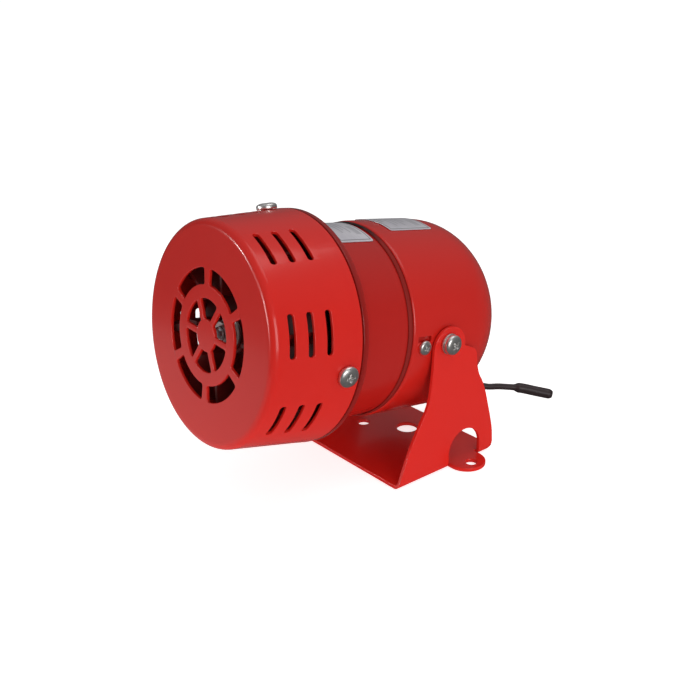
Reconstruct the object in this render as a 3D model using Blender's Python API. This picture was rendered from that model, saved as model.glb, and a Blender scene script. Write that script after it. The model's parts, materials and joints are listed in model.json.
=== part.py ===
"""Small motor siren on a tilting U-bracket.

Lengths are in millimetres; MM turns them into metres.  World frame: origin on
the underside of the bracket's base plate, on the centre plane, straight under
the tilt pivot.  +X runs along the pivot and is the "right" side, the siren's
mouth points towards -Y, +Z is up.

Siren frame: the empty siren_axis sits on the tilt pivot, turned by TILT_DEG.
In it the siren's own axis is +Y (mouth at the negative end).  A "station" is
a distance behind the front face; st() turns it into a Y coordinate.  Angles
about the axis are in degrees from +X towards +Z.
"""

import math
from collections import namedtuple

import bmesh
import bpy
from mathutils import Matrix, Vector

MM = 0.001
SIDES = ((1, "right"), (-1, "left"))

# ------------------------------------------------------------ driving sizes
TILT_DEG = -8.5           # nose up
PIVOT_Z = 52.3            # above the underside of the base
PIVOT_STATION = 78.5

CUP_R = 42.5              # front cover, outside radius at its rear rim
CUP_TAPER = 0.087         # radius lost per unit of length towards the face
CUP_LEN = 34.5
CUP_SHEET = 1.2
CUP_SLOPE = math.atan(CUP_TAPER)
CUP_SHEET_ACROSS = CUP_SHEET / math.cos(CUP_SLOPE)   # sheet measured along the radius

BARREL_R = 36.4           # middle housing, outside radius
REAR_R = 37.4             # rear cover, outside radius
REAR_WALL = 0.9
REAR_FRONT = 62.5         # station of the rear cover's front rim
DOME_START = 94.0
DOME_LEN = 29.0

SHEET = 1.5               # bracket sheet
ARM_X = 39.2              # outside of a bracket arm

COVER_SCREW_DEG = (-6.8, 104.5, 228.8)
COVER_SCREW_STATION = 29.0
SIDE_SCREW_DEG = -1.4
SIDE_SCREW_STATION = 67.9
BOLT_R = 32.6             # through bolts, distance from the axis
BOLT_DEG = (45.0, 225.0)
BOLT_HOLE_R = 1.95

SHAFT_R = 3.0
BORE_R = 3.1              # bore of every part that sits on the shaft
BELL_BORE_R = 5.15        # bearing seat in the motor's end bells
CORE_FRONT, CORE_REAR = 52.0, 74.0   # stations of the armature core and pole shoes
YOKE_IN, YOKE_OUT = 27.0, 30.5


def st(station):
    """Y coordinate of a station in the siren frame."""
    return station - PIVOT_STATION


# ------------------------------------------------------------ scene and frames
for old in list(bpy.data.objects):
    bpy.data.objects.remove(old, do_unlink=True)
for old in list(bpy.data.meshes):
    bpy.data.meshes.remove(old)
for old in list(bpy.data.materials):
    bpy.data.materials.remove(old)


def link(name, data, parent, place):
    """Object in the scene; place is its matrix in the parent's frame."""
    obj = bpy.data.objects.new(name, data)
    bpy.context.scene.collection.objects.link(obj)
    if parent is not None:
        obj.parent = parent
    if place is not None:
        obj.matrix_local = place
    return obj


def empty(name, parent=None, place=None):
    obj = link(name, None, parent, place)
    obj.empty_display_size = 0.01
    return obj


SIREN_PLACE = (Matrix.Translation((0, 0, PIVOT_Z * MM))
               @ Matrix.Rotation(math.radians(TILT_DEG), 4, "X"))
bracket_frame = empty("bracket_frame")
siren_axis = empty("siren_axis", place=SIREN_PLACE)
rotor_axis = empty("rotor_axis", parent=siren_axis)


# ------------------------------------------------------------ finishes
Finish = namedtuple("Finish", "colour roughness metallic", defaults=(0.0,))

RED_PAINT = Finish((0.62, 0.028, 0.020), roughness=0.3)
IMPELLER_PAINT = RED_PAINT._replace(roughness=0.35)
BRIGHT_ZINC = Finish((0.70, 0.70, 0.68), roughness=0.3, metallic=1.0)
ZINC = BRIGHT_ZINC._replace(roughness=0.35)
STEEL = Finish((0.45, 0.45, 0.46), roughness=0.45, metallic=1.0)
BELL_STEEL = STEEL._replace(roughness=0.4)
SPRING_STEEL = STEEL._replace(roughness=0.3)
SHAFT_STEEL = STEEL._replace(roughness=0.25)
LAMINATED = Finish((0.30, 0.30, 0.31), roughness=0.5, metallic=0.8)
COIL_COPPER = Finish((0.70, 0.26, 0.10), roughness=0.45, metallic=0.6)
WINDING_COPPER = COIL_COPPER._replace(roughness=0.4, metallic=0.7)
BARE_COPPER = COIL_COPPER._replace(roughness=0.3, metallic=1.0)
BRONZE = Finish((0.62, 0.42, 0.20), roughness=0.4, metallic=1.0)
CARBON = Finish((0.05, 0.05, 0.055), roughness=0.6)
PHENOLIC = Finish((0.16, 0.06, 0.03), roughness=0.5)
CABLE_BLACK = Finish((0.012, 0.012, 0.013), roughness=0.5)
GROMMET_BLACK = CABLE_BLACK._replace(roughness=0.6)
GASKET_BLACK = CABLE_BLACK._replace(roughness=0.7)
FOIL = Finish((0.62, 0.63, 0.64), roughness=0.35, metallic=0.4)
HELPER_GREY = Finish((0.5, 0.5, 0.5), roughness=0.4)


def material(name, finish):
    mat = bpy.data.materials.new(name)
    mat.use_nodes = True
    shader = mat.node_tree.nodes["Principled BSDF"]
    shader.inputs["Base Color"].default_value = (*finish.colour, 1.0)
    shader.inputs["Roughness"].default_value = finish.roughness
    shader.inputs["Metallic"].default_value = finish.metallic
    mat.diffuse_color = (*finish.colour, 1.0)
    return mat


# ------------------------------------------------------------ objects and booleans
WELD_DIST = 1e-6          # metres
SHARP_DEG = 30.0          # edges sharper than this stay crisp


def keep(name, bm, finish, parent=siren_axis, place=None):
    """Turns a bmesh into an object with a material of its own name."""
    bmesh.ops.remove_doubles(bm, verts=bm.verts, dist=WELD_DIST)
    bmesh.ops.recalc_face_normals(bm, faces=bm.faces)
    mesh = bpy.data.meshes.new(name)
    bm.to_mesh(mesh)
    bm.free()
    mesh.shade_smooth()
    mesh.set_sharp_from_angle(angle=math.radians(SHARP_DEG))
    mesh.materials.append(material(name, finish))
    return link(name, mesh, parent, place)


def cutter(name, bm, parent=siren_axis):
    """Hidden helper that a boolean takes away from a piece or adds to it."""
    obj = keep(name, bm, HELPER_GREY, parent)
    obj.hide_render = True
    obj.display_type = "WIRE"
    return obj


def cut(obj, tool, operation="DIFFERENCE"):
    mod = obj.modifiers.new(tool.name, "BOOLEAN")
    mod.operation = operation
    mod.solver = "EXACT"
    mod.object = tool


# ------------------------------------------------------------ outlines
def polar(radius, deg):
    return radius * math.cos(math.radians(deg)), radius * math.sin(math.radians(deg))


def arc_points(centre_u, centre_v, radius, start, end, steps):
    points = [polar(radius, start + (end - start) * i / steps) for i in range(steps + 1)]
    return [(centre_u + u, centre_v + v) for u, v in points]


def circle_points(centre_u, centre_v, radius, steps):
    return arc_points(centre_u, centre_v, radius, 0.0, 360.0, steps)[:-1]


def rounded_rectangle(half_u, half_v, radius, steps, centre_v):
    points = []
    for sign_u, sign_v, start in ((1, 1, 0), (-1, 1, 90), (-1, -1, 180), (1, -1, 270)):
        points += arc_points(sign_u * (half_u - radius), sign_v * (half_v - radius) + centre_v,
                             radius, start, start + 90, steps)
    return points


def half_angle(width, radius):
    """Degrees from the middle to the edge of a parallel-sided bar at this radius."""
    return math.degrees(math.asin(width / 2 / radius))


def slotted_outline(outer_r, floor_r, slots, slot_w, arc_steps):
    """Round core with open parallel-sided slots."""
    points = []
    for k in range(slots):
        centre, following = 360.0 * k / slots, 360.0 * (k + 1) / slots
        at_rim, at_floor = half_angle(slot_w, outer_r), half_angle(slot_w, floor_r)
        points += [polar(floor_r, centre - at_floor), polar(floor_r, centre + at_floor)]
        points += arc_points(0, 0, outer_r, centre + at_rim, following - at_rim, arc_steps)
    return points


def at_stations(profile):
    """(radius, station) points as (radius, y)."""
    return [(radius, st(station)) for radius, station in profile]


# Outline planes for prism(): u and v lie in the outline, w runs along the prism.
def across_x(u, v, w):
    return Vector((w, u, v))


def across_y(u, v, w):
    return Vector((u, w, v))


def across_z(u, v, w):
    return Vector((u, v, w))


# ------------------------------------------------------------ solids
def spun(profile, steps, closed=False):
    """(radius, y) points turned about Y.  An open profile starts and ends on the axis."""
    bm = bmesh.new()
    verts = [bm.verts.new((radius * MM, y * MM, 0.0)) for radius, y in profile]
    edges = [bm.edges.new(pair) for pair in zip(verts, verts[1:])]
    if closed:
        edges.append(bm.edges.new((verts[-1], verts[0])))
    bmesh.ops.spin(
        bm, geom=verts + edges, cent=(0, 0, 0), axis=(0, 1, 0), dvec=(0, 0, 0),
        angle=2 * math.pi, steps=steps, use_merge=False, use_duplicate=False,
    )
    return bm


def ring(inner_r, outer_r, front, rear, steps):
    """Plain ring about Y with a rectangular section."""
    section = [(inner_r, front), (outer_r, front), (outer_r, rear), (inner_r, rear)]
    return spun(section, steps, closed=True)


def prism(outlines, to3d, low, high, bm=None):
    """Solid between w = low and high, from a rim outline and any hole outlines."""
    flat = bmesh.new()
    rims = []
    first = 0
    for outline in outlines:
        verts = [flat.verts.new((u, v, 0.0)) for u, v in outline]
        for i, vert in enumerate(verts):
            flat.edges.new((vert, verts[(i + 1) % len(verts)]))
        rims.append((first, len(verts)))
        first += len(verts)
    flat.verts.index_update()
    bmesh.ops.triangle_fill(flat, use_beauty=True, use_dissolve=False, edges=flat.edges[:])
    points = [(vert.co.x, vert.co.y) for vert in flat.verts]
    faces = [[vert.index for vert in face.verts] for face in flat.faces]
    flat.free()
    bm = bm or bmesh.new()
    bottom = [bm.verts.new(to3d(u, v, low) * MM) for u, v in points]
    top = [bm.verts.new(to3d(u, v, high) * MM) for u, v in points]
    for face in faces:
        bm.faces.new([bottom[i] for i in face])
        bm.faces.new([top[i] for i in reversed(face)])
    for first, count in rims:
        for i in range(count):
            a, b = first + i, first + (i + 1) % count
            bm.faces.new([bottom[a], bottom[b], top[b], top[a]])
    return bm


def box(low, high, bm=None, place=Matrix.Identity(4)):
    bm = bm or bmesh.new()
    for vert in bmesh.ops.create_cube(bm, size=1.0)["verts"]:
        corner = [low[i] + (vert.co[i] + 0.5) * (high[i] - low[i]) for i in range(3)]
        vert.co = place @ (Vector(corner) * MM)
    return bm


def rod(radius, start, end, steps, bm=None):
    """Solid cylinder between two points."""
    bm = bm or bmesh.new()
    a, b = Vector(start) * MM, Vector(end) * MM
    turn = (b - a).to_track_quat("Z", "Y").to_matrix().to_4x4()
    bmesh.ops.create_cone(
        bm, cap_ends=True, cap_tris=False, segments=steps, radius1=radius * MM,
        radius2=radius * MM, depth=(b - a).length, matrix=Matrix.Translation((a + b) / 2) @ turn,
    )
    return bm


def placed_rod(place, radius, low, high, steps, bm):
    """Rod along the local Y axis of a placement."""
    start, end = [(place @ Vector((0, y * MM, 0))) / MM for y in (low, high)]
    rod(radius, start, end, steps, bm)


def bridge(rows, bm):
    """Closes a run of vertex rings into a solid with flat ends."""
    for a, b in zip(rows, rows[1:]):
        for i in range(len(a)):
            j = (i + 1) % len(a)
            bm.faces.new([a[i], a[j], b[j], b[i]])
    bm.faces.new(list(reversed(rows[0])))
    bm.faces.new(rows[-1])
    return bm


def tube_along(points, radii, sides):
    """Solid round bar along a run of points."""
    bm = bmesh.new()
    points = [Vector(point) for point in points]
    last = len(points) - 1
    tangents = [(points[min(i + 1, last)] - points[max(i - 1, 0)]).normalized()
                for i in range(len(points))]
    across = tangents[0].orthogonal().normalized()
    rows = []
    for point, tangent, radius in zip(points, tangents, radii):
        across = (across - tangent * across.dot(tangent)).normalized()
        other = tangent.cross(across)
        turns = [2 * math.pi * i / sides for i in range(sides)]
        rows.append([
            bm.verts.new((point + radius * (across * math.cos(t) + other * math.sin(t))) * MM)
            for t in turns
        ])
    return bridge(rows, bm)


def arc_plate(inner_r, outer_r, start, end, front, rear, steps, bm=None):
    """Curved plate about the Y axis, between two angles."""
    bm = bm or bmesh.new()
    section = ((inner_r, front), (outer_r, front), (outer_r, rear), (inner_r, rear))
    rows = []
    for i in range(steps + 1):
        a = math.radians(start + (end - start) * i / steps)
        rows.append([
            bm.verts.new(Vector((radius * math.cos(a), y, radius * math.sin(a))) * MM)
            for radius, y in section
        ])
    return bridge(rows, bm)


# ------------------------------------------------------------ placements
def aimed(point, direction):
    """Placement at a point (mm) whose local +Y runs along a direction."""
    turn = Vector((0, 1, 0)).rotation_difference(direction).to_matrix().to_4x4()
    return Matrix.Translation(point * MM) @ turn


def radial(deg, radius, station):
    """Placement whose local +Y points outwards along the radius at this angle."""
    a = math.radians(deg)
    out = Vector((math.cos(a), 0.0, math.sin(a)))
    return aimed(out * radius + Vector((0, st(station), 0)), out)


def cup_radius(station):
    """Outside radius of the tapered cup."""
    return CUP_R - CUP_TAPER * (CUP_LEN - station)


def on_cup(deg, lift, station):
    """Placement whose local +Y stands square on the tapered side of the cup."""
    a = math.radians(deg)
    flat, radius = math.cos(CUP_SLOPE), cup_radius(station)
    out = Vector((math.cos(a) * flat, -math.sin(CUP_SLOPE), math.sin(a) * flat))
    seat = Vector((math.cos(a) * radius, st(station), math.sin(a) * radius))
    return aimed(seat + out * lift, out)


def both_sides(deg):
    """An angle on the right side and its mirror on the left."""
    return deg, 180 - deg


# ------------------------------------------------------------ bracket
BASE_FRONT, BASE_REAR = -24.5, 26.5
BASE_CORNER = 2.2         # cut off the rear corners
# Holes in the base: x, y, radius.
BASE_BIG_HOLE = (5.0, 11.5, 4.3)
BASE_SMALL_HOLES = ((-10.5, 1.0, 2.4), (20.5, 1.0, 2.4))
ARM_HOLE_R = 2.08
ARM_HEAD = (0.9, 50.4, 7.9)   # y, z, radius
ARCH_Y = 10.2
ARCH_HALF = 8.3
ARCH_SPRING_Z = 5.8
# Edges of an arm, (y, z): the front one upwards, the rear one downwards.
ARM_FRONT_EDGE = [
    (BASE_FRONT, 0.0), (-18.1, 15.0), (-13.3, 23.4), (-10.2, 28.6), (-8.5, 34.3), (-7.4, 43.0),
]
ARM_REAR_EDGE = [
    (11.2, 48.2), (13.4, 47.0), (14.7, 45.8), (15.3, 44.2), (15.7, 41.4), (16.1, 38.7),
    (17.2, 35.2), (19.1, 31.8), (21.2, 26.5), (22.8, 20.9), (24.4, 15.2), (25.7, 9.5),
    (BASE_REAR - 0.3, 4.0), (BASE_REAR - 0.9, 1.9), (BASE_REAR - 2.2, 0.0),
]
TAB_HALF = 7.6
TAB_END_X = 47.8
TAB_ROOT_X = ARM_X - SHEET - 3.0   # buried in the base
TAB_HOLE_X = 43.0
TAB_HOLE_R = 2.2


def base_plate():
    edge_x = ARM_X - SHEET / 2
    rim = [
        (-edge_x, BASE_FRONT), (edge_x, BASE_FRONT), (edge_x, BASE_REAR - BASE_CORNER),
        (edge_x - BASE_CORNER, BASE_REAR), (-edge_x + BASE_CORNER, BASE_REAR),
        (-edge_x, BASE_REAR - BASE_CORNER),
    ]
    holes = [circle_points(*BASE_BIG_HOLE, 20)]
    holes += [circle_points(*hole, 14) for hole in BASE_SMALL_HOLES]
    return prism([rim] + holes, across_z, 0.0, SHEET)


def arm(side):
    """Upright with a round head at the pivot and an arch in its foot."""
    head = arc_points(*ARM_HEAD, 178.0, -8.0, 12)
    arch = arc_points(ARCH_Y, ARCH_SPRING_Z, ARCH_HALF, 0.0, 180.0, 12)
    arch = [(ARCH_Y + ARCH_HALF, 0.0)] + arch + [(ARCH_Y - ARCH_HALF, 0.0)]
    low, high = sorted((side * ARM_X, side * (ARM_X - SHEET)))
    rim = ARM_FRONT_EDGE + head + ARM_REAR_EDGE + arch
    return prism([rim, circle_points(0.0, PIVOT_Z, ARM_HOLE_R, 20)], across_x, low, high)


def tab(side):
    """Round-ended tab of the base that sticks out through the arm's arch."""
    tip = arc_points(TAB_END_X - TAB_HALF, ARCH_Y, TAB_HALF, -90.0, 90.0, 12)
    rim = [(TAB_ROOT_X, ARCH_Y - TAB_HALF)] + tip + [(TAB_ROOT_X, ARCH_Y + TAB_HALF)]
    hole = circle_points(side * TAB_HOLE_X, ARCH_Y, TAB_HOLE_R, 14)
    return prism([[(side * x, y) for x, y in rim], hole], across_z, 0.0, SHEET)


def build_bracket():
    bracket = keep("base_bracket", base_plate(), RED_PAINT, bracket_frame)
    for side, word in SIDES:
        cut(bracket, cutter(f"arm_{word}_shape", arm(side), bracket_frame), "UNION")
        cut(bracket, cutter(f"tab_{word}_shape", tab(side), bracket_frame), "UNION")


# ------------------------------------------------------------ holes shared by several pieces
def cover_hole_cuts():
    holes = bmesh.new()
    for deg in COVER_SCREW_DEG:
        placed_rod(on_cup(deg, 0.0, COVER_SCREW_STATION), 2.2, -6.5, 3.5, 14, holes)
    return cutter("cover_screw_hole_cuts", holes)


def side_hole_cuts():
    holes = bmesh.new()
    for deg in both_sides(SIDE_SCREW_DEG):
        placed_rod(radial(deg, 0.0, SIDE_SCREW_STATION), 1.7, 33.0, 41.0, 12, holes)
    return cutter("side_screw_hole_cuts", holes)


def bolt_hole_cuts():
    holes = bmesh.new()
    for deg in BOLT_DEG:
        x, z = polar(BOLT_R, deg)
        rod(BOLT_HOLE_R, (x, st(32.0), z), (x, st(37.6), z), 14, holes)
    return cutter("through_bolt_hole_cuts", holes)


# ------------------------------------------------------------ front cover
CUP_FILLET = 2.8
SLOT_GROUPS = 8
SLOT_FIRST_DEG = 14.2
SLOT_HALF_DEG = 10.4
SLOT_W = 2.3
SLOT_STATIONS = (7.3, 14.35, 21.35)
SLOT_CUT_RADII = (CUP_R - 7.0, CUP_R + 2.0)

FACE_RING_R = 23.25       # outer edge of the outer openings
FACE_MID_R = 17.5         # inner edge of the outer openings
FACE_INNER_R = 12.85      # outer edge of the inner openings
FACE_HUB_R = 5.7
FACE_CUT_STATIONS = (-1.0, 3.0)
FACE_OPENINGS = 6         # in each row
OUTER_SPOKE_W = 3.2
OUTER_SPOKE_DEG = 34.0
INNER_SPOKE_W = 2.2
INNER_SPOKE_DEG = -2.5


def cup_profile():
    # The fillet meets both the face and the sloping side squarely.
    centre_r = cup_radius(CUP_FILLET) - CUP_FILLET / math.cos(CUP_SLOPE)
    sweep = math.pi / 2 - CUP_SLOPE

    def fillet(radius, steps):
        angles = [sweep * i / steps for i in range(steps + 1)]
        return [(centre_r + radius * math.sin(a), CUP_FILLET - radius * math.cos(a))
                for a in angles]

    rim = cup_radius(CUP_LEN)
    return at_stations(
        [(0.0, 0.0)] + fillet(CUP_FILLET, 4) + [(rim, CUP_LEN), (rim - CUP_SHEET_ACROSS, CUP_LEN)]
        + fillet(CUP_FILLET - CUP_SHEET, 3)[::-1] + [(0.0, CUP_SHEET)])


def side_slots():
    slots = bmesh.new()
    for group in range(SLOT_GROUPS):
        middle = SLOT_FIRST_DEG + group * 360.0 / SLOT_GROUPS
        for station in SLOT_STATIONS:
            arc_plate(*SLOT_CUT_RADII, middle - SLOT_HALF_DEG, middle + SLOT_HALF_DEG,
                      st(station - SLOT_W / 2), st(station + SLOT_W / 2), 4, slots)
    return slots


def face_openings():
    """Outer row of curved openings and inner row of sectors between even spokes."""
    openings = bmesh.new()
    front, rear = [st(station) for station in FACE_CUT_STATIONS]
    pitch = 360 / FACE_OPENINGS
    outer_half = half_angle(OUTER_SPOKE_W, (FACE_MID_R + FACE_RING_R) / 2)
    at_edge = half_angle(INNER_SPOKE_W, FACE_INNER_R)
    at_hub = half_angle(INNER_SPOKE_W, FACE_HUB_R)
    for k in range(FACE_OPENINGS):
        start = OUTER_SPOKE_DEG + pitch * k
        arc_plate(FACE_MID_R, FACE_RING_R, start + outer_half, start + pitch - outer_half,
                  front, rear, 6, openings)
        start = INNER_SPOKE_DEG + pitch * k
        end = start + pitch
        sector = (arc_points(0, 0, FACE_INNER_R, start + at_edge, end - at_edge, 6)
                  + arc_points(0, 0, FACE_HUB_R, end - at_hub, start + at_hub, 3))
        prism([sector], across_y, front, rear, openings)
    return openings


def build_front_cover(cover_holes):
    cover = keep("front_cover", spun(cup_profile(), 48), RED_PAINT)
    cut(cover, cutter("side_slot_cuts", side_slots()))
    cut(cover, cutter("face_opening_cuts", face_openings()))
    cut(cover, cover_holes)


# ------------------------------------------------------------ middle housing
BARREL_WALL = 1.0
BARREL_END = 72.0
FLANGE_HOLE_R = 24.0
FLANGE_FRONT = 33.2
FLANGE_REAR = FLANGE_FRONT + CUP_SHEET
LIP_FRONT = 25.0
LIP_GAP = 0.3             # between the lip and the inside of the cup
SHOULDER_FRONT = CUP_LEN + 0.1   # just behind the cup's rim
SHOULDER_REAR = 37.3


def lip_radius(station):
    """Outside radius of the lip that slips into the cup."""
    return cup_radius(station) - CUP_SHEET_ACROSS - LIP_GAP


def build_mid_housing(cover_holes, side_holes, bolt_holes):
    bore = BARREL_R - BARREL_WALL
    profile = [
        (FLANGE_HOLE_R, FLANGE_FRONT), (lip_radius(FLANGE_FRONT) - CUP_SHEET, FLANGE_FRONT),
        (lip_radius(LIP_FRONT) - CUP_SHEET, LIP_FRONT), (lip_radius(LIP_FRONT), LIP_FRONT),
        (lip_radius(CUP_LEN), SHOULDER_FRONT), (CUP_R, SHOULDER_FRONT),
        (CUP_R, SHOULDER_REAR - 0.8), (CUP_R - 0.4, SHOULDER_REAR),
        (CUP_R - CUP_SHEET, SHOULDER_REAR), (CUP_R - CUP_SHEET, SHOULDER_FRONT + CUP_SHEET),
        (BARREL_R, SHOULDER_FRONT + CUP_SHEET), (BARREL_R, BARREL_END),
        (bore, BARREL_END), (bore, FLANGE_REAR), (FLANGE_HOLE_R, FLANGE_REAR),
    ]
    housing = keep("mid_housing", spun(at_stations(profile), 48, closed=True), RED_PAINT)
    for holes in (cover_holes, side_holes, bolt_holes):
        cut(housing, holes)


# ------------------------------------------------------------ rear cover
# Small window just above each side screw.
SLIT_DEG = 3.3
SLIT_HALF_DEG = 1.5
SLIT_STATIONS = (64.7, 71.1)
SLIT_CUT_RADII = (REAR_R - 1.6, REAR_R + 1.6)
PIVOT_HOLE_R = 2.25
PIVOT_CUT_X = (34.0, 42.0)

# Cable outlet low on the back of the dome, square to its surface.
OUTLET_ANGLE = math.radians(50.0)   # along the dome's elliptical section, from its start
OUTLET_R = 3.6
OUTLET_POINT = Vector((0.0, st(DOME_START + DOME_LEN * math.sin(OUTLET_ANGLE)),
                       -REAR_R * math.cos(OUTLET_ANGLE)))
OUTLET_DIR = Vector((0.0, math.sin(OUTLET_ANGLE) / DOME_LEN,
                     -math.cos(OUTLET_ANGLE) / REAR_R)).normalized()
OUTLET_REACH = 5.0        # cut to either side, and cable run inside


def dome_arc(radius, length, steps):
    """Quarter ellipse from the dome's start to the axis."""
    angles = [math.pi / 2 * i / steps for i in range(steps)]
    arc = [(radius * math.cos(a), DOME_START + length * math.sin(a)) for a in angles]
    return arc + [(0.0, DOME_START + length)]


def build_rear_cover(side_holes):
    bore = REAR_R - REAR_WALL
    profile = (dome_arc(REAR_R, DOME_LEN, 8)[::-1] + [(REAR_R, REAR_FRONT), (bore, REAR_FRONT)]
               + dome_arc(bore, DOME_LEN - REAR_WALL, 6))
    cover = keep("rear_cover", spun(at_stations(profile), 48), RED_PAINT)
    cut(cover, side_holes)

    slits = bmesh.new()
    front, rear = [st(station) for station in SLIT_STATIONS]
    for deg in both_sides(SLIT_DEG):
        arc_plate(*SLIT_CUT_RADII, deg - SLIT_HALF_DEG, deg + SLIT_HALF_DEG,
                  front, rear, 2, slits)
    cut(cover, cutter("side_slit_cuts", slits))

    holes = bmesh.new()
    for side, _ in SIDES:
        start, end = [(side * x, 0, 0) for x in PIVOT_CUT_X]
        rod(PIVOT_HOLE_R, start, end, 16, holes)
    cut(cover, cutter("pivot_hole_cuts", holes))

    reach = OUTLET_DIR * OUTLET_REACH
    outlet = rod(OUTLET_R, OUTLET_POINT - reach, OUTLET_POINT + reach, 16)
    cut(cover, cutter("cable_outlet_cut", outlet))


# ------------------------------------------------------------ grommet, gasket, labels
# Radius, height over the dome's surface.
GROMMET_PROFILE = [
    (1.75, -2.6), (4.6, -2.6), (4.6, -1.5), (3.3, -1.3), (3.3, 0.45), (4.8, 0.45), (4.6, 1.7),
    (2.9, 2.8), (1.75, 2.8),
]
GASKET_FRONT = 60.3
TRIM_GAP = 0.15           # under the gasket and the labels
LABEL_TOP = 0.4           # outer face of a label over the housing
# Name, housing radius, half angle about the top, front and rear station, steps.
LABELS = (
    ("front_label", BARREL_R, 24.0, 43.2, 58.6, 12),
    ("rear_label", REAR_R, 16.5, 70.2, 91.4, 9),
)


def build_trim():
    keep("cable_grommet", spun(GROMMET_PROFILE, 20, closed=True), GROMMET_BLACK,
         place=aimed(OUTLET_POINT, OUTLET_DIR))
    keep("seam_gasket", ring(BARREL_R + TRIM_GAP, REAR_R + 0.1, st(GASKET_FRONT),
                             st(REAR_FRONT - 0.2), 48), GASKET_BLACK)
    for name, radius, half, front, rear, steps in LABELS:
        plate = arc_plate(radius + TRIM_GAP, radius + LABEL_TOP, 90.0 - half, 90.0 + half,
                          st(front), st(rear), steps)
        keep(name, plate, FOIL)


# ------------------------------------------------------------ fasteners
SCREW_LIFT = 0.1          # screw head over the cover
PIVOT_SCREW_X = ARM_X + 1.3
LOCK_WASHER_X = ARM_X + 0.25
WELD_NUT_X = REAR_R - REAR_WALL - 3.6
PIVOT_RING_BORE = 2.15    # lock washer and weld nut
# Radius, station.
THROUGH_BOLT_PROFILE = [
    (0.0, 30.6), (2.4, 30.9), (2.9, 31.6), (2.9, 32.9), (1.6, 32.9), (1.6, 98.4), (0.0, 98.4),
]


def pan_screw(head_r, head_h, shank_r, length, steps):
    """Pan-head screw about Y: underside of the head at y = 0, shank towards -Y."""
    return spun([
        (0.0, head_h), (0.52 * head_r, 0.94 * head_h), (0.86 * head_r, 0.68 * head_h),
        (head_r, 0.3 * head_h), (head_r, 0.0), (shank_r, 0.0), (shank_r, -length + 0.4),
        (shank_r - 0.4, -length), (0.0, -length)], steps)


def hex_nut(across_flats, bore, front, rear, steps=12):
    """Hexagon about the Y axis with a round bore of this radius."""
    corner = across_flats / math.cos(math.pi / 6) / 2
    rims = [circle_points(0, 0, corner, 6), circle_points(0, 0, bore, steps)]
    return prism(rims, across_y, front, rear)


def build_screws():
    for i, deg in enumerate(COVER_SCREW_DEG, 1):
        keep(f"cover_screw_{i}", pan_screw(3.75, 2.3, 1.9, 5.4, 14), BRIGHT_ZINC,
             place=on_cup(deg, SCREW_LIFT, COVER_SCREW_STATION))
    for deg, (_, word) in zip(both_sides(SIDE_SCREW_DEG), SIDES):
        keep(f"side_screw_{word}", pan_screw(2.7, 1.5, 1.35, 4.2, 12), BRIGHT_ZINC,
             place=radial(deg, REAR_R + SCREW_LIFT, SIDE_SCREW_STATION))


def build_pivots():
    for deg, (_, word) in zip(both_sides(0.0), SIDES):
        keep(f"pivot_screw_{word}", pan_screw(3.75, 2.4, 1.95, 9.4, 20), BRIGHT_ZINC,
             place=radial(deg, PIVOT_SCREW_X, PIVOT_STATION))
        keep(f"pivot_lock_washer_{word}", ring(PIVOT_RING_BORE, 3.9, 0.0, 0.8, 20), ZINC,
             place=radial(deg, LOCK_WASHER_X, PIVOT_STATION))
        keep(f"pivot_weld_nut_{word}", hex_nut(7.0, PIVOT_RING_BORE, 0.0, 3.0), STEEL,
             place=radial(deg, WELD_NUT_X, PIVOT_STATION))


def build_through_bolts():
    for i, deg in enumerate(BOLT_DEG, 1):
        x, z = polar(BOLT_R, deg)
        place = Matrix.Translation(Vector((x, 0.0, z)) * MM)
        keep(f"through_bolt_{i}", spun(at_stations(THROUGH_BOLT_PROFILE), 12), ZINC, place=place)
        keep(f"through_bolt_nut_{i}", hex_nut(5.5, 1.8, st(94.5), st(97.0)), ZINC, place=place)


# ------------------------------------------------------------ motor, fixed parts
# Radius, station.
FRONT_BELL_PROFILE = [
    (BELL_BORE_R, 32.2), (8.0, 32.2), (8.0, 34.8), (34.6, 34.8), (34.6, 36.6), (8.0, 36.6),
    (8.0, 38.0), (BELL_BORE_R, 38.0),
]
FRONT_VENT_AT, FRONT_VENT_R = 19.0, 4.5
REAR_BELL_R, REAR_EAR_R = 26.0, 35.8
REAR_BELL_STATIONS = (92.0, 94.1)
EAR_HALF_DEG, EAR_RAMP_DEG = 16.0, 6.0   # an ear's half angle, and the ramp at its edge
REAR_VENT_AT, REAR_VENT_R = 16.0, 4.0
BUSH_R, BUSH_LEN = 5.0, 7.0
BUSH_FRONTS = (("front", 31.6), ("rear", 89.9))
YOKE_STATIONS = (37.0, 91.6)

POLE_NECK_W = 14.0
POLE_TOP_R = YOKE_IN - 0.25
SHOE_R, SHOE_FACE_R = 20.4, 17.7   # back and face of the shoe
SHOE_HALF_DEG = 37.0
COIL_HEIGHTS = (20.8, 24.0)        # distance from the siren's axis
# Field coil: half width, half length, corner radius, steps per corner.
COIL_OUTSIDE = (11.2, 15.2, 3.0, 3)
COIL_INSIDE = (7.35, 11.35, 0.3, 1)


def build_front_bell(bolt_holes):
    bell = keep("motor_front_bell", spun(at_stations(FRONT_BELL_PROFILE), 32, closed=True),
                BELL_STEEL)
    cut(bell, bolt_holes)
    vents = bmesh.new()
    for k in range(4):
        x, z = polar(FRONT_VENT_AT, 90.0 * k)
        rod(FRONT_VENT_R, (x, st(33.0), z), (x, st(38.0), z), 14, vents)
    cut(bell, cutter("front_bell_vent_cuts", vents))


def eared_outline(steps=72):
    """Disc with an ear at each through bolt."""
    points = []
    for i in range(steps):
        deg = 360.0 * i / steps
        off = min(abs((deg - at + 180) % 360 - 180) for at in BOLT_DEG)
        rise = max(0.0, min(1.0, (EAR_HALF_DEG - off) / EAR_RAMP_DEG))
        points.append(polar(REAR_BELL_R + (REAR_EAR_R - REAR_BELL_R) * rise, deg))
    return points


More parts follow.
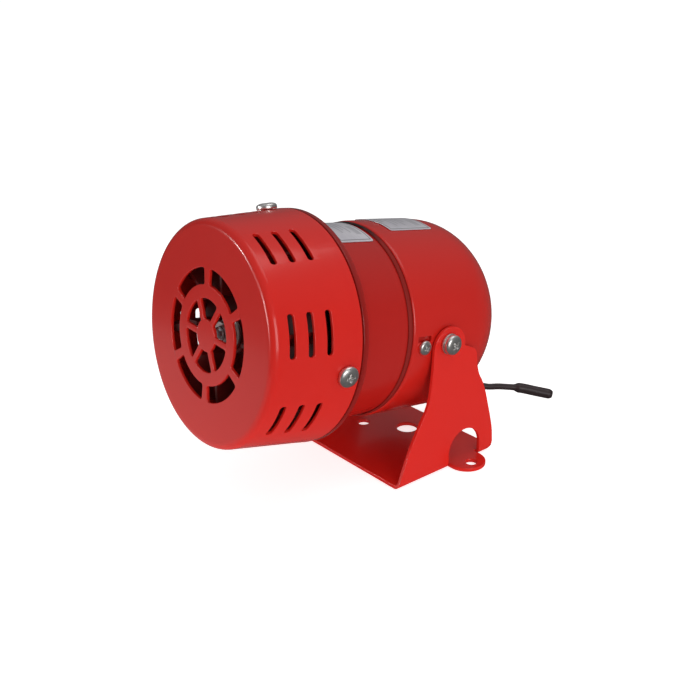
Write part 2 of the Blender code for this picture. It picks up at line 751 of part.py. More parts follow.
def build_rear_bell():
    rims = [eared_outline(), circle_points(0, 0, BELL_BORE_R, 28)]
    rims += [circle_points(*polar(BOLT_R, deg), BOLT_HOLE_R, 14) for deg in BOLT_DEG]
    rims += [circle_points(*polar(REAR_VENT_AT, deg), REAR_VENT_R, 12) for deg in (90.0, 270.0)]
    front, rear = [st(station) for station in REAR_BELL_STATIONS]
    keep("motor_rear_bell", prism(rims, across_y, front, rear), BELL_STEEL)


def build_bushes_and_yoke():
    for word, front in BUSH_FRONTS:
        keep(f"{word}_bush", ring(BORE_R, BUSH_R, st(front), st(front + BUSH_LEN), 28), BRONZE)
    front, rear = [st(station) for station in YOKE_STATIONS]
    keep("motor_yoke", ring(YOKE_IN, YOKE_OUT, front, rear, 40), STEEL)


def pole_outline():
    """Upper pole piece: neck on the yoke, shoe round the armature."""
    top = half_angle(POLE_NECK_W, POLE_TOP_R)
    root = half_angle(POLE_NECK_W, SHOE_R)
    return (arc_points(0, 0, POLE_TOP_R, 90 - top, 90 + top, 4)
            + arc_points(0, 0, SHOE_R, 90 + root, 90 + SHOE_HALF_DEG, 3)
            + arc_points(0, 0, SHOE_FACE_R, 90 + SHOE_HALF_DEG, 90 - SHOE_HALF_DEG, 12)
            + arc_points(0, 0, SHOE_R, 90 - SHOE_HALF_DEG, 90 - root, 3))


def build_poles():
    middle = st((CORE_FRONT + CORE_REAR) / 2)
    for turn, word in ((0.0, "upper"), (math.pi, "lower")):
        place = Matrix.Rotation(turn, 4, "Y")
        pole = prism([pole_outline()], across_y, st(CORE_FRONT), st(CORE_REAR))
        keep(f"pole_shoe_{word}", pole, LAMINATED, place=place)
        rims = [rounded_rectangle(*size, middle) for size in (COIL_OUTSIDE, COIL_INSIDE)]
        keep(f"field_coil_{word}", prism(rims, across_z, *COIL_HEIGHTS), COIL_COPPER, place=place)


# ------------------------------------------------------------ brushes
BRUSH_Y = st(84.5)
BRUSH_AXIS_X = 12.0
BRUSH_HALF = 2.5          # brush and cap, half width
CHANNEL_HALF = 2.8
HOLDER_HALF = 4.3
SPRING_TURNS, SPRING_STEPS = 4, 10
SPRING_X = (16.55, 22.3)
SPRING_R, SPRING_WIRE_R = 1.75, 0.28


def side_block(side, inner_x, outer_x, front, rear, half_z):
    """Box between two distances out along X on one side."""
    low, high = sorted((side * inner_x, side * outer_x))
    return box((low, front, -half_z), (high, rear, half_z))


def square_block(side, inner_x, outer_x, half, centre_y=BRUSH_Y):
    return side_block(side, inner_x, outer_x, centre_y - half, centre_y + half, half)


def build_brush_gear(side, word):
    holder = side_block(side, 10.6, 24.4, BRUSH_Y - 4.2, st(91.7), HOLDER_HALF)
    holder = keep(f"brush_holder_{word}", holder, PHENOLIC)
    channel = square_block(side, 9.0, 26.0, CHANNEL_HALF)
    cut(holder, cutter(f"brush_channel_{word}", channel))
    keep(f"brush_cap_{word}", square_block(side, 22.6, 24.2, BRUSH_HALF), BRONZE)

    brush_axis = empty(f"brush_axis_{word}", siren_axis,
                       Matrix.Translation((side * BRUSH_AXIS_X * MM, BRUSH_Y * MM, 0)))
    brush = square_block(side, 8.25 - BRUSH_AXIS_X, 16.0 - BRUSH_AXIS_X, BRUSH_HALF, 0.0)
    keep(f"carbon_brush_{word}", brush, CARBON, brush_axis)

    coil = []
    steps = SPRING_TURNS * SPRING_STEPS
    for i in range(steps + 1):
        a = 2 * math.pi * i / SPRING_STEPS
        x = SPRING_X[0] + (SPRING_X[1] - SPRING_X[0]) * i / steps
        coil.append((side * x, BRUSH_Y + SPRING_R * math.cos(a), SPRING_R * math.sin(a)))
    keep(f"brush_spring_{word}", tube_along(coil, [SPRING_WIRE_R] * len(coil), 5), SPRING_STEEL)


# ------------------------------------------------------------ shaft and impeller
# Radius, station.
SHAFT_PROFILE = [
    (0.0, 4.6), (2.0, 4.6), (2.45, 5.1), (2.45, 11.0), (SHAFT_R, 11.0), (SHAFT_R, 99.6),
    (2.6, 100.0), (0.0, 100.0),
]
NOSE_BORE_R = 2.65        # impeller nut and washer
IMPELLER_R = 37.2
HUB_R = 7.5
HUB_FRONT, DISC_FRONT, DISC_REAR, HUB_REAR = 11.3, 22.6, 24.0, 29.0
VANES = 8
VANE_FRONT = 5.0
VANE_ROOT_R = 14.0
VANE_HALF = 0.7           # half thickness
VANE_STEPS = 4
VANE_SWEEP_DEG = 14.0     # lean at the tip
VANE_CURVE = 1.4          # power by which the lean grows outwards


def build_shaft():
    keep("rotor_shaft", spun(at_stations(SHAFT_PROFILE), 24), SHAFT_STEEL, rotor_axis)
    keep("impeller_nut", hex_nut(8.0, NOSE_BORE_R, st(6.0), st(9.4), 14), ZINC, rotor_axis)
    keep("impeller_washer", ring(NOSE_BORE_R, 6.0, st(9.6), st(10.6), 20), ZINC, rotor_axis)


def vane_outline():
    faces = {VANE_HALF: [], -VANE_HALF: []}
    for i in range(VANE_STEPS + 1):
        part = i / VANE_STEPS
        radius = VANE_ROOT_R + (IMPELLER_R - VANE_ROOT_R) * part
        a = math.radians(VANE_SWEEP_DEG * part ** VANE_CURVE)
        for offset, line in faces.items():
            line.append((radius * math.cos(a) - offset * math.sin(a),
                         radius * math.sin(a) + offset * math.cos(a)))
    return faces[VANE_HALF] + faces[-VANE_HALF][::-1]


def build_impeller():
    profile = [
        (BORE_R, HUB_FRONT), (HUB_R, HUB_FRONT), (HUB_R, DISC_FRONT), (IMPELLER_R, DISC_FRONT),
        (IMPELLER_R, DISC_REAR), (HUB_R, DISC_REAR), (HUB_R, HUB_REAR), (BORE_R, HUB_REAR),
    ]
    impeller = keep("impeller", spun(at_stations(profile), 40, closed=True), IMPELLER_PAINT,
                    rotor_axis)
    vanes = bmesh.new()
    vane_rear = (DISC_FRONT + DISC_REAR) / 2   # rooted halfway into the disc
    for k in range(VANES):
        turn = Matrix.Rotation(math.radians(360.0 / VANES * k), 4, "Y")
        prism([vane_outline()], lambda u, v, w: turn @ across_y(u, v, w),
              st(VANE_FRONT), st(vane_rear), vanes)
    cut(impeller, cutter("impeller_vane_shapes", vanes, rotor_axis), "UNION")


# ------------------------------------------------------------ armature
ARMATURE_R = 16.9
ARMATURE_SLOTS = 8
# End turns of the winding: radius, station.
FRONT_TURNS = [(4.0, 49.2), (13.6, 48.8), (15.8, 50.0), (15.8, 51.7), (4.0, 51.7)]
REAR_TURNS = [(4.0, 74.3), (15.8, 74.3), (15.8, 76.2), (13.6, 78.2), (4.0, 78.6)]
BAR_RADII = (11.0, 15.4)
BAR_HALF = 1.8
BAR_OVERLAP = 1.0         # beyond each end of the core, into the end turns
COMMUTATOR_R = 8.0
COMMUTATOR_STATIONS = (79.4, 89.4)


def slotted_core(outline, front, rear):
    return prism([outline, circle_points(0, 0, BORE_R, 24)], across_y, st(front), st(rear))


def build_armature():
    core = slotted_core(slotted_outline(ARMATURE_R, 10.5, ARMATURE_SLOTS, 4.4, 3),
                        CORE_FRONT, CORE_REAR)
    keep("armature_core", core, LAMINATED, rotor_axis)

    winding = keep("armature_winding", spun(at_stations(FRONT_TURNS), 32, closed=True),
                   WINDING_COPPER, rotor_axis)
    bars = bmesh.new()
    for k in range(ARMATURE_SLOTS):
        box((BAR_RADII[0], st(CORE_FRONT - BAR_OVERLAP), -BAR_HALF),
            (BAR_RADII[1], st(CORE_REAR + BAR_OVERLAP), BAR_HALF), bars,
            Matrix.Rotation(-math.radians(360.0 / ARMATURE_SLOTS * k), 4, "Y"))
    cut(winding, cutter("winding_bar_shapes", bars, rotor_axis), "UNION")
    rear_turns = spun(at_stations(REAR_TURNS), 32, closed=True)
    cut(winding, cutter("winding_rear_shape", rear_turns, rotor_axis), "UNION")

    commutator = slotted_core(slotted_outline(COMMUTATOR_R, 7.3, 12, 0.6, 2),
                              *COMMUTATOR_STATIONS)
    keep("commutator", commutator, BARE_COPPER, rotor_axis)


# ------------------------------------------------------------ cable
CABLE_R, SLEEVE_R = 1.35, 2.2
SLEEVE_POINTS = 8         # path points at full sleeve radius, before the tip
TIP_SCALE = 0.7           # tip radius over the sleeve's
# Sagging run behind the bracket, in world coordinates.
CABLE_SAG = (
    (4.5, 45.5, 13.8), (10.3, 51.9, 10.0), (13.7, 58.5, 9.0), (18.3, 66.4, 7.5),
    (22.7, 71.5, 6.0), (27.8, 76.8, 4.5),
)


def world_to_siren(point):
    return (SIREN_PLACE.inverted() @ (Vector(point) * MM)) / MM


def smooth_run(points, steps):
    """Catmull-Rom curve through the points."""
    points = [2 * points[0] - points[1]] + points + [2 * points[-1] - points[-2]]
    run = []
    for i in range(1, len(points) - 2):
        p0, p1, p2, p3 = points[i - 1:i + 3]
        for k in range(steps):
            t = k / steps
            run.append(0.5 * ((2 * p1) + (p2 - p0) * t + (2 * p0 - 5 * p1 + 4 * p2 - p3) * t * t
                              + (3 * p1 - p0 - 3 * p2 + p3) * t ** 3))
    run.append(points[-2])
    return run


def build_cable():
    # From inside the dome, straight through the grommet, then down behind the bracket.
    start = [OUTLET_POINT + OUTLET_DIR * along for along in (-OUTLET_REACH, 0.0, 3.4, 6.0)]
    path = smooth_run(start + [world_to_siren(point) for point in CABLE_SAG], 4)
    radii = [CABLE_R] * (len(path) - SLEEVE_POINTS - 1)
    radii += [SLEEVE_R] * SLEEVE_POINTS + [SLEEVE_R * TIP_SCALE]
    keep("power_cable", tube_along(path, radii, 10), CABLE_BLACK)


# ------------------------------------------------------------ assembly
cover_holes = cover_hole_cuts()
side_holes = side_hole_cuts()
bolt_holes = bolt_hole_cuts()

build_bracket()
build_front_cover(cover_holes)
build_mid_housing(cover_holes, side_holes, bolt_holes)
build_rear_cover(side_holes)
build_trim()
build_screws()
build_pivots()
build_through_bolts()
build_front_bell(bolt_holes)
build_rear_bell()
build_bushes_and_yoke()
build_poles()
for side, word in SIDES:
    build_brush_gear(side, word)
build_shaft()
build_impeller()
build_armature()
build_cable()
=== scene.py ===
"""Small motor siren on its tilting bracket.

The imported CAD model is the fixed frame.  Shells, bracket, screws, impeller, labels, gasket,
grommet, springs and cable are built here in the same place; the motor's inner pieces keep
their CAD meshes and get new materials.

Lengths are millimetres unless noted; the shared frame is in metres, +Z up.
Siren frame: origin on the tilt pivot, X along the pivot, +Y along the rotor's axis towards
the back.  Stations are distances behind the front face.
"""

import json
import math

import bmesh
import bpy
from mathutils import Matrix, Vector


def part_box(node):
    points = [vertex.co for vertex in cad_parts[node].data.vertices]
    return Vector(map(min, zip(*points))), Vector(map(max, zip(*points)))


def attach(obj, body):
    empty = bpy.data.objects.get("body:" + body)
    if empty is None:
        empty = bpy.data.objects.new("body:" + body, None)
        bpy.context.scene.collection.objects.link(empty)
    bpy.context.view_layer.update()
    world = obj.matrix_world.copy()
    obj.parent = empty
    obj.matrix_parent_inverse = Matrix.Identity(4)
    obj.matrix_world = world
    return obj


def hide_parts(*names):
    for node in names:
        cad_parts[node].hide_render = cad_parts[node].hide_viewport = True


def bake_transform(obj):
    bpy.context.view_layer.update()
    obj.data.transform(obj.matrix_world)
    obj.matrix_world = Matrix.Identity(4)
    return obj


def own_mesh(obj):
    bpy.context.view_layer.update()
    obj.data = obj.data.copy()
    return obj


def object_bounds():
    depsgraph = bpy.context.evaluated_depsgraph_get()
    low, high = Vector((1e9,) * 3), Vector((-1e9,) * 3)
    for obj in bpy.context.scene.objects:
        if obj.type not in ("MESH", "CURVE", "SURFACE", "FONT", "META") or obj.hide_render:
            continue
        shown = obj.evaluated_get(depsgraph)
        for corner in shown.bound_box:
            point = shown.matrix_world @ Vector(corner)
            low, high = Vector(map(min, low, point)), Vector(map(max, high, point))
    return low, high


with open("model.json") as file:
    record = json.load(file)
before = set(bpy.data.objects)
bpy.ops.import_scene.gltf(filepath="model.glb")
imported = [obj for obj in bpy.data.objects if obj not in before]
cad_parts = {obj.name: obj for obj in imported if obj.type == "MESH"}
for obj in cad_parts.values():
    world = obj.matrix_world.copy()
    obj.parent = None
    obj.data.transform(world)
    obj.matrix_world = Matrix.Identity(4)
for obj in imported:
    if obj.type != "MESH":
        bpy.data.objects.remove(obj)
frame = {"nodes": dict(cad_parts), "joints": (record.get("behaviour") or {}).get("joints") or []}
cad_low, cad_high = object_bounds()

MM = 0.001
JOINTS = {joint["name"]: joint for joint in frame["joints"]}
PIVOT = Vector(JOINTS["siren_tilt"]["pos_m"])
ALONG = Vector(JOINTS["rotor_spin"]["axis"]).normalized()
ACROSS = Vector((1.0, 0.0, 0.0))
UPWARD = ACROSS.cross(ALONG)
SIREN = Matrix.Translation(PIVOT) @ Matrix((ACROSS, ALONG, UPWARD)).transposed().to_4x4()
TO_SIREN = SIREN.inverted()


def measured(node):
    """(front, rear, largest radius) of a CAD node in the siren frame."""
    points = [TO_SIREN @ v.co / MM for v in frame["nodes"][node].data.vertices]
    depths = [p.y for p in points]
    return min(depths), max(depths), max(math.hypot(p.x, p.z) for p in points)


# ---------------------------------------------------------------- driving sizes
FACE_Y, CUP_END, CUP_R = measured("front_cover")
CUP_LEN = CUP_END - FACE_Y
CUP_TAPER = 0.087  # radius lost per length towards the front
CUP_SLOPE = math.atan(CUP_TAPER)
_, BARREL_END, SHOULDER_R = measured("mid_housing")
BARREL_R = 36.4
REAR_FRONT, REAR_END, REAR_R = measured("rear_cover")
REAR_WALL = 0.9
PIVOT_STATION = -FACE_Y
SHEET = 1.2  # sheet thickness of the cup and its sleeve

COVER_SCREW_DEG = (-6.8, 104.5, 228.8)
COVER_SCREW_STATION = 29.0
SIDE_SCREW_DEG = {"right": -1.4, "left": 181.4}
SIDE_SCREW_STATION = 67.9
BOLT_DEG = (45.0, 225.0)
BOLT_CIRCLE_R = 32.6
SIDES = ((1, "right"), (-1, "left"))  # sign of X, word used in names

BRUSH_Y = sum(measured("carbon_brush_right")[:2]) / 2


def y_at(station):
    """Siren-frame Y of a station."""
    return station - PIVOT_STATION


def cup_radius(station):
    """Outside radius of the tapered cup."""
    return CUP_R - CUP_TAPER * (CUP_LEN - station)


# ---------------------------------------------------------------- material graph
class Graph:
    """Builds a material's node tree; coordinates are object coordinates in metres."""

    def __init__(self, name, aligned=False):
        self.material = bpy.data.materials.new(name)
        self.material.use_nodes = True
        self.nodes = self.material.node_tree.nodes
        self.links = self.material.node_tree.links
        self.shader = self.nodes["Principled BSDF"]
        self.coords = self.nodes.new("ShaderNodeTexCoord").outputs["Object"]
        if aligned:
            # CAD pieces have shared-frame coordinates: turn those into the siren frame.
            turn = self.nodes.new("ShaderNodeMapping")
            self.links.new(self.coords, turn.inputs["Vector"])
            turn.inputs["Rotation"].default_value = TO_SIREN.to_euler()
            turn.inputs["Location"].default_value = TO_SIREN.translation
            self.coords = turn.outputs["Vector"]

    def feed(self, socket, value):
        if isinstance(value, bpy.types.NodeSocket):
            self.links.new(value, socket)
        elif isinstance(value, tuple) and len(value) == 3 and socket.type == "RGBA":
            socket.default_value = (*value, 1.0)
        else:
            socket.default_value = value

    def node(self, kind, **inputs):
        """New node; underscores in input names stand for spaces."""
        node = self.nodes.new(kind)
        for key, value in inputs.items():
            self.feed(node.inputs[key.replace("_", " ")], value)
        return node

    def noise(self, scale, detail=2.0, rough=0.5, stretch=None):
        coords = self.coords
        if stretch:
            coords = self.node("ShaderNodeMapping", Vector=coords, Scale=stretch).outputs[0]
        return self.node("ShaderNodeTexNoise", Scale=scale, Detail=detail, Roughness=rough,
                         Vector=coords).outputs["Fac"]

    def patches(self, scale, detail=2.0, rough=0.5, between=(0.3, 0.7), to=(0.0, 1.0)):
        """Noise with its middle range stretched over `to`."""
        return self.span(self.noise(scale, detail, rough), between, to)

    def wave(self, scale, axis, distortion=0.0):
        node = self.node("ShaderNodeTexWave", Scale=scale, Distortion=distortion,
                         Vector=self.coords)
        node.bands_direction = axis
        return node.outputs["Fac"]

    def voronoi(self, scale):
        node = self.node("ShaderNodeTexVoronoi", Scale=scale, Vector=self.coords)
        return node.outputs["Distance"]

    def split(self):
        return self.node("ShaderNodeSeparateXYZ", Vector=self.coords).outputs

    def calc(self, kind, first, second=0.0):
        node = self.nodes.new("ShaderNodeMath")
        node.operation = kind
        for socket, value in zip(node.inputs, (first, second, 0.0)):
            self.feed(socket, value)
        return node.outputs[0]

    def distance_from(self, value, middle):
        return self.calc("ABSOLUTE", self.calc("SUBTRACT", value, middle))

    def plan_distance(self, x, y):
        squares = [self.calc("MULTIPLY", value, value) for value in (x, y)]
        return self.calc("SQRT", self.calc("ADD", *squares))

    def span(self, fac, between=(0.0, 1.0), to=(0.0, 1.0)):
        """Maps the range `between` onto the range `to`, clamped."""
        node = self.node("ShaderNodeMapRange", Value=fac, From_Min=between[0],
                         From_Max=between[1], To_Min=to[0], To_Max=to[1])
        node.clamp = True
        return node.outputs["Result"]

    def mix(self, fac, first, second):
        node = self.nodes.new("ShaderNodeMix")
        node.data_type = "RGBA"
        self.feed(node.inputs["Factor"], fac)
        self.feed(node.inputs[6], first)
        self.feed(node.inputs[7], second)
        return node.outputs[2]

    def bump(self, height, depth, under=None):
        """Normal from a height; depth in millimetres."""
        node = self.node("ShaderNodeBump", Strength=1.0, Distance=depth * MM, Height=height)
        if under is not None:
            self.feed(node.inputs["Normal"], under)
        return node.outputs["Normal"]

    def emission(self, strength):
        return self.node("ShaderNodeEmission", Strength=strength).outputs[0]

    def add_shaders(self, first, second):
        node = self.nodes.new("ShaderNodeAddShader")
        self.links.new(first, node.inputs[0])
        self.links.new(second, node.inputs[1])
        return node.outputs[0]

    def mix_shaders(self, fac, first, second):
        node = self.nodes.new("ShaderNodeMixShader")
        for socket, value in zip(node.inputs, (fac, first, second)):
            self.links.new(value, socket)
        return node.outputs[0]

    def finish(self, **values):
        """Sets the Principled shader's inputs; underscores stand for spaces."""
        for key, value in values.items():
            self.feed(self.shader.inputs[key.replace("_", " ")], value)
        return self.material


def dimmed(colour, share):
    return tuple(c * share for c in colour)


# ---------------------------------------------------------------- materials
ALONG_AXIS_RINGS = (0.02, 1.0, 0.02)  # noise stretch that leaves rings round the axis


def red_paint(name, deep, bright, rough=0.22, painted_shade=()):
    """Baked enamel: slight colour drift, fine orange peel, dust grain.

    Painted-shade rows fade the colour towards black between two stations: first station, last
    station, share of the colour left at each."""
    graph = Graph(name)
    drift = graph.patches(scale=22.0, rough=0.45, between=(0.1, 0.9))
    colour = graph.mix(drift, deep, bright)
    fleck = graph.patches(scale=5200.0, detail=1.0, between=(0.66, 0.82), to=(0.0, 0.06))
    colour = graph.mix(fleck, colour, tuple(min(1.0, c * 1.15 + 0.01) for c in bright))
    # Painted shade: each row darkens the colour between two stations.
    for first, last, share_first, share_last in painted_shade:
        left = graph.span(graph.split()[1], (y_at(first) * MM, y_at(last) * MM),
                          to=(share_first, share_last))
        colour = graph.mix(left, (0.0, 0.0, 0.0), colour)
    peel = graph.bump(graph.noise(scale=480.0, detail=1.0, rough=0.4), depth=0.0022)
    gloss = graph.patches(scale=60.0, detail=1.0, between=(0.0, 1.0),
                          to=(rough - 0.02, rough + 0.03))
    return graph.finish(Base_Color=colour, Roughness=gloss, Normal=peel, Coat_Weight=0.15,
                        Coat_Roughness=0.05, Coat_Normal=peel, IOR=1.42)


def plated(name, colour, rough=0.28):
    """Zinc or nickel plate: crystalline mottling and fine turning marks."""
    graph = Graph(name)
    mottle = graph.patches(scale=900.0, detail=4.0, rough=0.65)
    tint = graph.mix(mottle, dimmed(colour, 0.80), colour)
    haze = graph.patches(scale=260.0, detail=3.0, between=(0.35, 0.65))
    tint = graph.mix(graph.calc("MULTIPLY", haze, 0.15), tint, (0.80, 0.74, 0.66))
    scratches = graph.noise(scale=3000.0, detail=3.0, rough=0.6, stretch=(1.0, 0.12, 1.0))
    marks = graph.bump(scratches, depth=0.0048)
    pits = graph.bump(graph.voronoi(scale=2200.0), depth=0.006, under=marks)
    gloss = graph.span(mottle, to=(rough + 0.14, rough))
    return graph.finish(Base_Color=tint, Metallic=1.0, Roughness=gloss, Normal=pits)


def turned_steel(name, colour, rough=0.32):
    graph = Graph(name, aligned=True)
    rings = graph.noise(scale=1500.0, stretch=ALONG_AXIS_RINGS)
    stain = graph.patches(scale=160.0, detail=4.0, between=(0.35, 0.7))
    tint = graph.mix(stain, colour, dimmed(colour, 0.72))
    gloss = graph.span(rings, (0.3, 0.7), to=(rough - 0.08, rough + 0.12))
    return graph.finish(Base_Color=tint, Metallic=1.0, Roughness=gloss,
                        Normal=graph.bump(rings, depth=0.008))


def laminated_steel():
    """Stack of thin punched sheets: fine lines across the axis, blue-grey oxide."""
    graph = Graph("laminated_steel", aligned=True)
    lines = graph.wave(scale=2400.0, axis="Y")
    oxide = graph.patches(scale=240.0, detail=3.0)
    tint = graph.mix(oxide, (0.20, 0.21, 0.24), (0.34, 0.33, 0.32))
    gaps = graph.span(lines, (0.0, 0.35), to=(0.55, 0.0))
    tint = graph.mix(gaps, tint, (0.06, 0.05, 0.05))
    return graph.finish(Base_Color=tint, Metallic=0.85, Roughness=0.42,
                        Normal=graph.bump(lines, depth=0.03))


def enamelled_copper(name, axis):
    """Enamelled magnet wire laid turn by turn along the axis."""
    graph = Graph(name, aligned=True)
    turns = graph.wave(scale=900.0, axis=axis, distortion=1.2)
    tone = graph.patches(scale=320.0, detail=3.0)
    tint = graph.mix(tone, (0.46, 0.13, 0.04), (0.72, 0.27, 0.09))
    gaps = graph.span(turns, (0.0, 0.4), to=(0.7, 0.0))
    tint = graph.mix(gaps, tint, (0.12, 0.03, 0.01))
    return graph.finish(Base_Color=tint, Metallic=0.75, Roughness=0.30,
                        Normal=graph.bump(turns, depth=0.10), Coat_Weight=0.5,
                        Coat_Roughness=0.15)


def commutator_copper():
    """Bright copper with a dark track under the brushes."""
    graph = Graph("commutator_bars", aligned=True)
    track = graph.noise(scale=2600.0, stretch=ALONG_AXIS_RINGS)
    from_brush = graph.distance_from(graph.split()[1], BRUSH_Y * MM)
    film = graph.span(from_brush, (0.0022, 0.0030), to=(0.75, 0.0))
    tint = graph.mix(film, (0.76, 0.33, 0.17), (0.26, 0.12, 0.08))
    gloss = graph.span(track, (0.3, 0.7), to=(0.18, 0.34))
    return graph.finish(Base_Color=tint, Metallic=1.0, Roughness=gloss,
                        Normal=graph.bump(track, depth=0.006))


def sintered_bronze():
    graph = Graph("sintered_bronze")
    pores = graph.span(graph.voronoi(scale=3200.0), (0.0, 0.28))
    tint = graph.mix(pores, (0.20, 0.12, 0.05), (0.66, 0.44, 0.20))
    return graph.finish(Base_Color=tint, Metallic=1.0, Roughness=0.38,
                        Normal=graph.bump(pores, depth=0.02))


def brush_carbon():
    graph = Graph("brush_carbon")
    grain = graph.noise(scale=3800.0, detail=3.0, rough=0.6)
    tint = graph.mix(graph.span(grain, (0.3, 0.7)), (0.020, 0.020, 0.022), (0.075, 0.070, 0.068))
    return graph.finish(Base_Color=tint, Metallic=0.2, Roughness=0.52,
                        Normal=graph.bump(grain, depth=0.02))


def phenolic_board():
    graph = Graph("phenolic_board")
    threads = [graph.wave(scale=1500.0, axis=axis) for axis in "XY"]
    weave = graph.calc("MULTIPLY", *threads)
    tone = graph.patches(scale=300.0, detail=4.0)
    tint = graph.mix(tone, (0.12, 0.045, 0.018), (0.22, 0.09, 0.04))
    return graph.finish(Base_Color=tint, Roughness=0.42,
                        Normal=graph.bump(weave, depth=0.015), Coat_Weight=0.2)


def rubber(name, colour, rough=0.55):
    """Fine-grained rubber with a faint pale bloom."""
    graph = Graph(name)
    grain = graph.noise(scale=2600.0, detail=3.0, rough=0.6)
    bloom = graph.patches(scale=120.0, detail=4.0, between=(0.4, 0.75), to=(0.0, 0.35))
    tint = graph.mix(bloom, colour, tuple(c * 1.8 + 0.006 for c in colour))
    gloss = graph.span(grain, (0.3, 0.7), to=(rough - 0.06, rough + 0.08))
    return graph.finish(Base_Color=tint, Roughness=gloss, Specular_IOR_Level=0.5,
                        Normal=graph.bump(grain, depth=0.02))


def shaded_seam_rubber(name, rubber_black, shade_red):
    """Rubber ring in a dark red that stands for the shade in the seam's gap, turning black along
    the top as painted shade of the dark hollow there.
    """
    graph = Graph(name)
    grain = graph.noise(scale=2600.0, detail=3.0, rough=0.6)
    ragged = graph.patches(scale=300.0, detail=3.0, rough=0.6, to=(-0.0012, 0.0012))
    height = graph.calc("ADD", graph.split()[2], ragged)
    # Painted shade: black along the top of the ring, for the dark hollow at the seam's crest.
    dark_crest = graph.span(height, (0.0335, 0.0365))
    tint = graph.mix(dark_crest, shade_red, rubber_black)
    tint = graph.mix(graph.calc("MULTIPLY", grain, 0.25), tint, rubber_black)
    gloss = graph.span(grain, (0.3, 0.7), to=(0.46, 0.60))
    return graph.finish(Base_Color=tint, Roughness=gloss, Specular_IOR_Level=0.2,
                        Normal=graph.bump(grain, depth=0.02))


def foil_label(name, front, rear, half_width, bars):
    """Brushed foil sticker with a rim line and plain printed bars, without lettering.

    Front and rear are siren-frame Y.  Bar rows: station, start x, stop x, half thickness,
    strength of the ink."""
    graph = Graph(name)
    x, y, _ = graph.split()
    brushed = graph.noise(scale=1800.0, detail=3.0, rough=0.6, stretch=(0.05, 1.0, 0.05))
    cloud = graph.patches(scale=110.0)
    base = graph.mix(cloud, (0.66, 0.64, 0.70), (0.82, 0.80, 0.85))
    base = graph.mix(graph.span(brushed, (0.3, 0.7), to=(0.0, 0.25)), base, (0.44, 0.44, 0.47))

    rim_inset = 1.1
    middle = (front + rear) / 2 * MM
    reach = (rear - front) / 2 * MM
    past_end = graph.calc("SUBTRACT", graph.distance_from(y, middle), reach - rim_inset * MM)
    past_side = graph.calc("SUBTRACT", graph.calc("ABSOLUTE", x), (half_width - rim_inset) * MM)
    edge = graph.calc("MAXIMUM", past_end, past_side)
    rim = graph.calc("MULTIPLY", graph.span(edge, (-0.00010, 0.00005)),
                     graph.span(edge, (0.00035, 0.00050), to=(1.0, 0.0)))
    colour = graph.mix(graph.calc("MULTIPLY", rim, 0.8), base, (0.16, 0.15, 0.17))

    for station, start, stop, thick, strength in bars:
        off_line = graph.distance_from(y, y_at(station) * MM)
        on_line = graph.span(off_line, (thick * MM, (thick + 0.12) * MM), to=(1.0, 0.0))
        after = graph.span(x, ((start - 0.1) * MM, start * MM))
        before = graph.span(x, (stop * MM, (stop + 0.1) * MM), to=(1.0, 0.0))
        ink = graph.calc("MULTIPLY", on_line, graph.calc("MULTIPLY", after, before))
        colour = graph.mix(graph.calc("MULTIPLY", ink, strength), colour, (0.12, 0.12, 0.14))
    gloss = graph.span(brushed, (0.3, 0.7), to=(0.28, 0.42))
    return graph.finish(Base_Color=colour, Metallic=0.20, Roughness=gloss,
                        Normal=graph.bump(brushed, depth=0.004), Coat_Weight=0.4,
                        Coat_Roughness=0.12)


BLACK = (0.012, 0.012, 0.013)
COVER_PAINT = red_paint("cover_paint", deep=(0.640, 0.0150, 0.0095),
                        bright=(0.690, 0.0175, 0.0115))
DOME_PAINT = red_paint("dome_paint", deep=(0.555, 0.0145, 0.0095),
                       bright=(0.600, 0.0165, 0.0110))
# The barrel's red is darkened just behind the cup's rim, and more lightly a little further back:
# painted shade of the step.
BARREL_PAINT = red_paint("barrel_paint", deep=(0.470, 0.0120, 0.0085),
                         bright=(0.510, 0.0140, 0.0100),
                         painted_shade=((34.6, 37.6, 0.60, 1.0), (37.0, 44.0, 0.78, 0.93)))
BRACKET_PAINT = red_paint("bracket_paint", deep=(0.725, 0.0170, 0.0110),
                          bright=(0.765, 0.0190, 0.0125), rough=0.24)
IMPELLER_PAINT = red_paint("impeller_paint", deep=(0.150, 0.0060, 0.0045),
                           bright=(0.190, 0.0080, 0.0060), rough=0.38)
ZINC = plated("zinc_plate", colour=(0.93, 0.91, 0.89))
SPRING_STEEL = plated("spring_steel", colour=(0.50, 0.50, 0.52), rough=0.22)
MOTOR_STEEL = turned_steel("motor_steel", colour=(0.46, 0.46, 0.47))
SHAFT_STEEL = turned_steel("shaft_steel", colour=(0.62, 0.62, 0.63), rough=0.22)
LAMINATED = laminated_steel()
FIELD_WIRE = enamelled_copper("field_wire", axis="Z")
ARMATURE_WIRE = enamelled_copper("armature_wire", axis="X")
COMMUTATOR = commutator_copper()
BRONZE = sintered_bronze()
CARBON = brush_carbon()
PHENOLIC = phenolic_board()
BLACK_RUBBER = rubber("black_rubber", colour=BLACK)
# Seam ring: its dark red and its black top are painted shade of the gap between the shells.
SEAM_RUBBER = shaded_seam_rubber("seam_rubber", rubber_black=BLACK, shade_red=(0.290, 0.010, 0.006))
CABLE_SHEATH = rubber("cable_sheath", colour=(0.026, 0.013, 0.014), rough=0.42)


# ---------------------------------------------------------------- outlines
def sweep(steps, end=math.pi / 2):
    """Evenly spaced angles in radians from 0 to end."""
    return [end * k / steps for k in range(steps + 1)]


def arc(x, y, radius, start, end, steps):
    """Points on an arc about (x, y); angles in degrees."""
    angles = [math.radians(start + (end - start) * k / steps) for k in range(steps + 1)]
    return [(x + radius * math.cos(a), y + radius * math.sin(a)) for a in angles]


def circle(x, y, radius, steps):
    return arc(x, y, radius, 0.0, 360.0, steps)[:-1]


